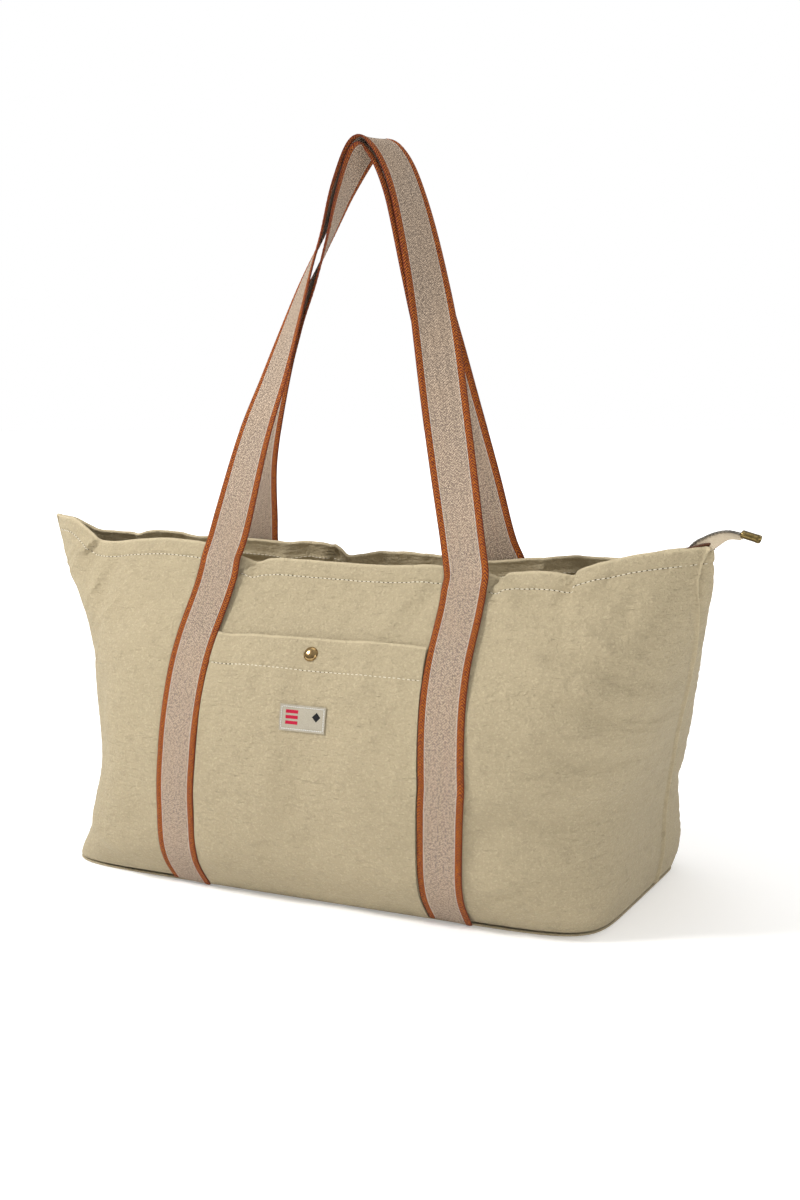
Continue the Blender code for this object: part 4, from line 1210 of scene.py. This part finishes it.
def tail_tape(look):
    """Zip tape bent over the bag's corner and folded like a tent."""
    t = np.linspace(-1.0, 1.0, 19)
    bow = abs(t) ** 1.25
    outer, inner, cloth = [], [], []
    for share, point, _, up, travelled in zip(np.linspace(0.0, 1.0, 90), *tail_path(90)):
        fold = soft_step((share - 0.10) / 0.45)
        span = 0.0130 + (0.0042 - 0.0130) * fold
        drop = 0.0004 + 0.0086 * fold - 0.0052 * soft_step((share - 0.78) / 0.22)
        drop += 0.0018 * soft_step((share - 0.62) / 0.12) * soft_step((1.0 - share) / 0.22)
        y = span * t * (1.0 - 0.10 * fold * bow)
        z = -0.0002 - drop * bow + 0.0004 * bell(abs(t) * span - 0.0030, 0.0010)
        row = point + np.outer(y, ACROSS) + np.outer(z, up)
        slope = np.gradient(z) / np.gradient(y)
        outer.append(row)
        inner.append(row - unit(up - np.outer(slope, ACROSS)) * 0.0009)
        cloth.append(vec(travelled, t * TAPE_REACH, 0.0))
    return slab("tail_tape", outer, inner, look, cloth, smooth=70.0)


def tail_teeth(name, end, look):
    """Closed teeth along the crest of the bent zip end, up to a share of its length."""
    line, along, up, travelled = tail_path(600)
    frames = []
    for k in range(int(travelled[-1] / (ZIP_PITCH / 2))):
        at = 0.0010 + k * ZIP_PITCH / 2
        if at < end * travelled[-1]:
            spot, ahead, rise = (resample(values, travelled, at) for values in (line, along, up))
            rise = unit(rise)
            frames.append((spot + rise * 0.0004, unit(ahead), ACROSS if k % 2 else -ACROSS, rise))
    return teeth(name, frames, look, scale=0.62)


def corner_tab(look):
    """Folded end of the zip's facing, which shows between the front rim and the tape; its very dark
    rust colour is partly painted shade for that gap.
    """
    x = np.linspace(0.2915, 0.3170, 34)
    t = np.linspace(0.0, 1.0, 16)[:, None]
    front = wall("front", x, 0.9999)[..., 1] + 0.0014
    inward = np.clip((t - 0.4) / 0.6, 0.0, 1.0)
    y = front + (np.maximum(ZIP_Y - 0.001, front + 0.002) - front) * inward
    rise = 0.0014 + 0.0032 * soft_step((x - 0.290) / 0.022)
    top = rim_height("front", x) - 0.0016 + rise * np.clip(t / 0.4, 0.0, 1.0)
    middle = vec(x, y, top + 0.0004 * np.sin(math.pi * inward))
    return soft_slab("zip_corner_tab", middle, 0.0011, look, vec(x, y, 0.0))


def end_cap(look):
    """Pressed brass end: a flattened barrel with a lip at each end."""
    start, end = np.array((0.3372, ZIP_Y, 0.3200)), np.array((0.3512, ZIP_Y, 0.3163))
    along = unit(end - start)
    up = np.cross(along, ACROSS)
    length = np.linalg.norm(end - start)
    stations = ((0.0, 0.60), (0.0, 0.92), (0.0005, 1.0), (0.0060, 1.0), (0.0112, 1.0),
                (0.0120, 1.06), (length - 0.0008, 1.08), (length, 0.96), (length - 0.0008, 0.82),
                (length - 0.0026, 0.72), (length - 0.0030, 0.30))
    cosine, sine = circle(40)
    y = np.sign(cosine) * abs(cosine) ** 0.90 * ACROSS
    z = np.sign(sine) * abs(sine) ** 0.95 * up
    return tube("tail_end_cap", [start + along * at + 0.0046 * share * y + 0.0031 * share * z
                                 for at, share in stations], look)


# ---- stage ----
FLOOR_GAP = 0.0004          # so that the floor and the base don't share a plane


def camera():
    data = bpy.data.cameras.new("camera")
    data.lens, data.sensor_width = 50.0, 36.0
    made = bpy.data.objects.new("camera", data)
    made.location = (0.646, -1.302, 0.4517)
    made.rotation_euler = (math.radians(90.0 - 8.30), 0.0, math.radians(25.69))
    bpy.context.scene.collection.objects.link(made)
    bpy.context.scene.camera = made


def area_light(name, place_at, target, size, power):
    data = bpy.data.lights.new(name, "AREA")
    data.shape, data.size, data.energy = "DISK", size, power
    made = bpy.data.objects.new(name, data)
    made.location = place_at
    made.rotation_euler = (Vector(target) - Vector(place_at)).to_track_quat("-Z", "Y").to_euler()
    bpy.context.scene.collection.objects.link(made)


def studio_world():
    """White to look at, and a softer light that falls off towards the horizon."""
    world = bpy.data.worlds.new("studio")
    bpy.context.scene.world = world
    world.use_nodes = True
    tree = world.node_tree
    nodes, links = tree.nodes, tree.links
    seen = nodes["Background"]
    seen.inputs["Color"].default_value = rgb(1.0, 1.0, 1.0)
    seen.inputs["Strength"].default_value = 1.0
    lit = nodes.new("ShaderNodeBackground")
    lit.inputs["Color"].default_value = rgb(1.0, 0.99, 0.97)
    parts = nodes.new("ShaderNodeSeparateXYZ")
    links.new(nodes.new("ShaderNodeTexCoord").outputs["Generated"], parts.inputs[0])
    fall = nodes.new("ShaderNodeMapRange")
    for key, value in (("From Min", -0.1), ("From Max", 0.9), ("To Min", 0.26), ("To Max", 0.74)):
        fall.inputs[key].default_value = value
    links.new(parts.outputs[2], fall.inputs["Value"])
    links.new(fall.outputs[0], lit.inputs["Strength"])
    choice = nodes.new("ShaderNodeMixShader")
    links.new(nodes.new("ShaderNodeLightPath").outputs["Is Camera Ray"], choice.inputs[0])
    links.new(lit.outputs[0], choice.inputs[1])
    links.new(seen.outputs[0], choice.inputs[2])
    links.new(choice.outputs[0], nodes["World Output"].inputs["Surface"])


def stage():
    ring = np.concatenate([*circle(96), np.zeros((96, 1))], axis=1)
    points = np.vstack([ring * 9.0, ring * 3.0, ring * 0.8]) - UP * FLOOR_GAP
    floor = add_mesh("floor", points, ring_faces(3, 96) + [tuple(range(192, 288))], floor_look())
    studio_world()
    area_light("key", (-1.55, -1.35, 1.75), (0.0, -0.05, 0.22), 0.55, 58.0)
    area_light("fill", (1.60, -1.70, 0.60), (0.0, 0.0, 0.08), 1.0, 14.0)
    area_light("back", (0.9, 2.1, 1.3), (0.0, 0.0, 0.2), 1.2, 16.0)
    area_light("top", (-0.2, 0.10, 2.1), (0.0, 0.0, 0.2), 1.4, 6.0)
    bpy.context.scene.view_settings.view_transform = "Standard"


# ---- assembly ----
def sew_body():
    for side_name in SIDES:
        place(sewn_panel(side_name, CANVAS), "bag", "canvas", f"{side_name}_panel",
              f"{side_name}_hem_facing")
        hem_stitches(side_name)
    place(base_cloth(CANVAS), "bag", "canvas", "base_panel")


def hem_stitches(side_name):
    """Lockstitch through the hem, seen on both faces."""
    def height(x):
        return rim_height(side_name, x) - HEM_DEPTH / HEM_SLANT

    def free(spot):
        return all(abs(spot[0] - strap_x(side_name, hand, 0.95)) > WEBBING_WIDTH / 2 - 0.001
                   for hand in ("left", "right"))

    xs = np.linspace(-0.291, 0.311, 900)
    line, out = wall_line(side_name, xs, height, 0.0)
    place(stitches(f"{side_name}_hem_stitches", line, out, CREAM, keep=free), "bag", "canvas")
    place(shaded_needle_holes(f"{side_name}_hem_hole_shade", line, out, HOLE_SHADE, keep=free), "bag", "canvas")
    kept = (xs > -0.262) & (xs < 0.286)
    inside = (line - out * (FABRIC * HEM_LAYERS))[kept]
    place(stitches(f"{side_name}_hem_stitches_inside", inside, -out[kept], CREAM), "bag", "canvas")


def sew_webbing():
    for side_name in SIDES:
        join(webbing_band(side_name, WEBBING), f"{side_name}_handle", "webbing",
             ((0.0, 0.0, 0.262), (0.0, 0.0, 0.286)), f"{side_name}_strap_left",
             f"{side_name}_strap_right", f"{side_name}_handle_loop")


def sew_pocket():
    bend = (0.0, 0.0, POCKET_HEM_BOTTOM - 0.003), (0.0, 0.0, POCKET_HEM_BOTTOM + 0.006)
    join(pocket_cloth(CANVAS), "pocket_flap", "canvas", bend, "pocket_panel", "pocket_hem")
    level = level_at_height(0.0, POCKET_HEM_BOTTOM)
    left, right = pocket_reach(level)
    x = np.linspace(left + 0.0012, right - 0.0012, 240)
    line, out = pocket_point(x, level, 0.0008), wall_normal("front", x, level)
    for run in (stitches("pocket_stitches", line, out, CREAM),
                shaded_needle_holes("pocket_hole_shade", line, out, HOLE_SHADE)):
        join(run, "pocket_flap", "canvas", bend)
    place(snap_button(BRASS), "pocket_flap", "brass", "snap_cap")
    for node in ("snap_socket", "snap_stud", "snap_post"):
        repaint(node, BRASS, 0.0002)
    place(woven_label(LABEL), "bag", "label", "label_patch")
    for made in label_threads():
        place(made, "bag", "label")
    # A plain motif: three woven bars and a small diamond.
    for k in range(3):
        place(woven_bar(f"label_bar_{k}", (-0.0095, 0.0048 - 0.0042 * k), 0.0105, 0.0026, RED),
              "bag", "label")
    place(woven_bar("label_diamond", (0.0120, 0.0020), 0.0052, 0.0052, DARK, tilt=45.0), "bag",
          "label")


def repaint(node, look, edge):
    """A CAD node that stays, with a finished material and eased edges."""
    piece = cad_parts[node]
    piece.data.materials.clear()
    piece.data.materials.append(look)
    change = piece.modifiers.new("edges", "BEVEL")
    change.width, change.segments, change.limit_method = edge, 2, "ANGLE"
    change.angle_limit = math.radians(30.0)


def build_zip():
    for side_name, side in SIDES.items():
        body = f"zip_flap_{side_name}"
        join(zip_cloth(side_name, CANVAS), body, "canvas", ((0.0, ZIP_Y + side * 0.0445, ZIP_Z),
             (0.0, ZIP_Y + side * 0.0350, ZIP_Z)), f"zip_panel_{side_name}")
        place(tape_strip(f"zip_tape_cloth_{side_name}", side, -FLAP_END_X, FLAP_END_X, TAPE), body,
              "zip_tape", f"zip_tape_{side_name}")
        place(teeth(f"zip_teeth_run_{side_name}", flat_teeth_frames(side, -FLAP_END_X, FLAP_END_X),
                    STEEL), body, "zip_metal", f"zip_teeth_{side_name}")
        x = np.linspace(-FLAP_END_X + 0.004, FLAP_END_X - 0.004, 200)
        distance = 0.0106
        line = vec(x, ZIP_Y + side * distance, recess_height(distance, x) + 0.0006)
        up = np.repeat(UP[None], len(x), axis=0)
        place(stitches(f"zip_stitches_{side_name}", line, up, CREAM), body, "zip_tape")
        place(tape_strip(f"zip_start_cloth_{side_name}", side, CHAIN_START_X, -FLAP_END_X - 0.0008,
                         TAPE), "bag", "zip_tape", f"zip_start_tape_{side_name}")
        for hand in ("left", "right"):
            place(recess_corner(side_name, hand, CANVAS), "bag", "canvas")
    start = [f for side in (FRONT, REAR)
             for f in flat_teeth_frames(side, CHAIN_START_X, -FLAP_END_X - 0.0025)]
    place(teeth("zip_start_run", start, STEEL), "bag", "zip_metal", "zip_start_teeth")
    for node, look, edge in (("zip_end_stop", STEEL, 0.0004), ("zip_slider_body", STEEL, 0.0003),
                             ("zip_puller", ANTIQUE, 0.0003)):
        repaint(node, look, edge)


def build_tail():
    bend = (0.2925, ZIP_Y, 0.3010), (0.3070, ZIP_Y, 0.3150)
    join(tail_tape(TAPE), "zip_tail", "zip_tape", bend, "zip_exit_tape", "zip_tail_tape")
    join(tail_teeth("tail_teeth", 0.995, STEEL), "zip_tail", "zip_metal", bend, "zip_exit_teeth",
         "zip_tail_teeth")
    place(end_cap(ANTIQUE), "zip_tail", "brass", "zip_end_cap")
    place(corner_tab(RUST_AND_SHADE), "bag", "zip_tape")


camera()
stage()
sew_body()
sew_webbing()
sew_pocket()
build_zip()
build_tail()
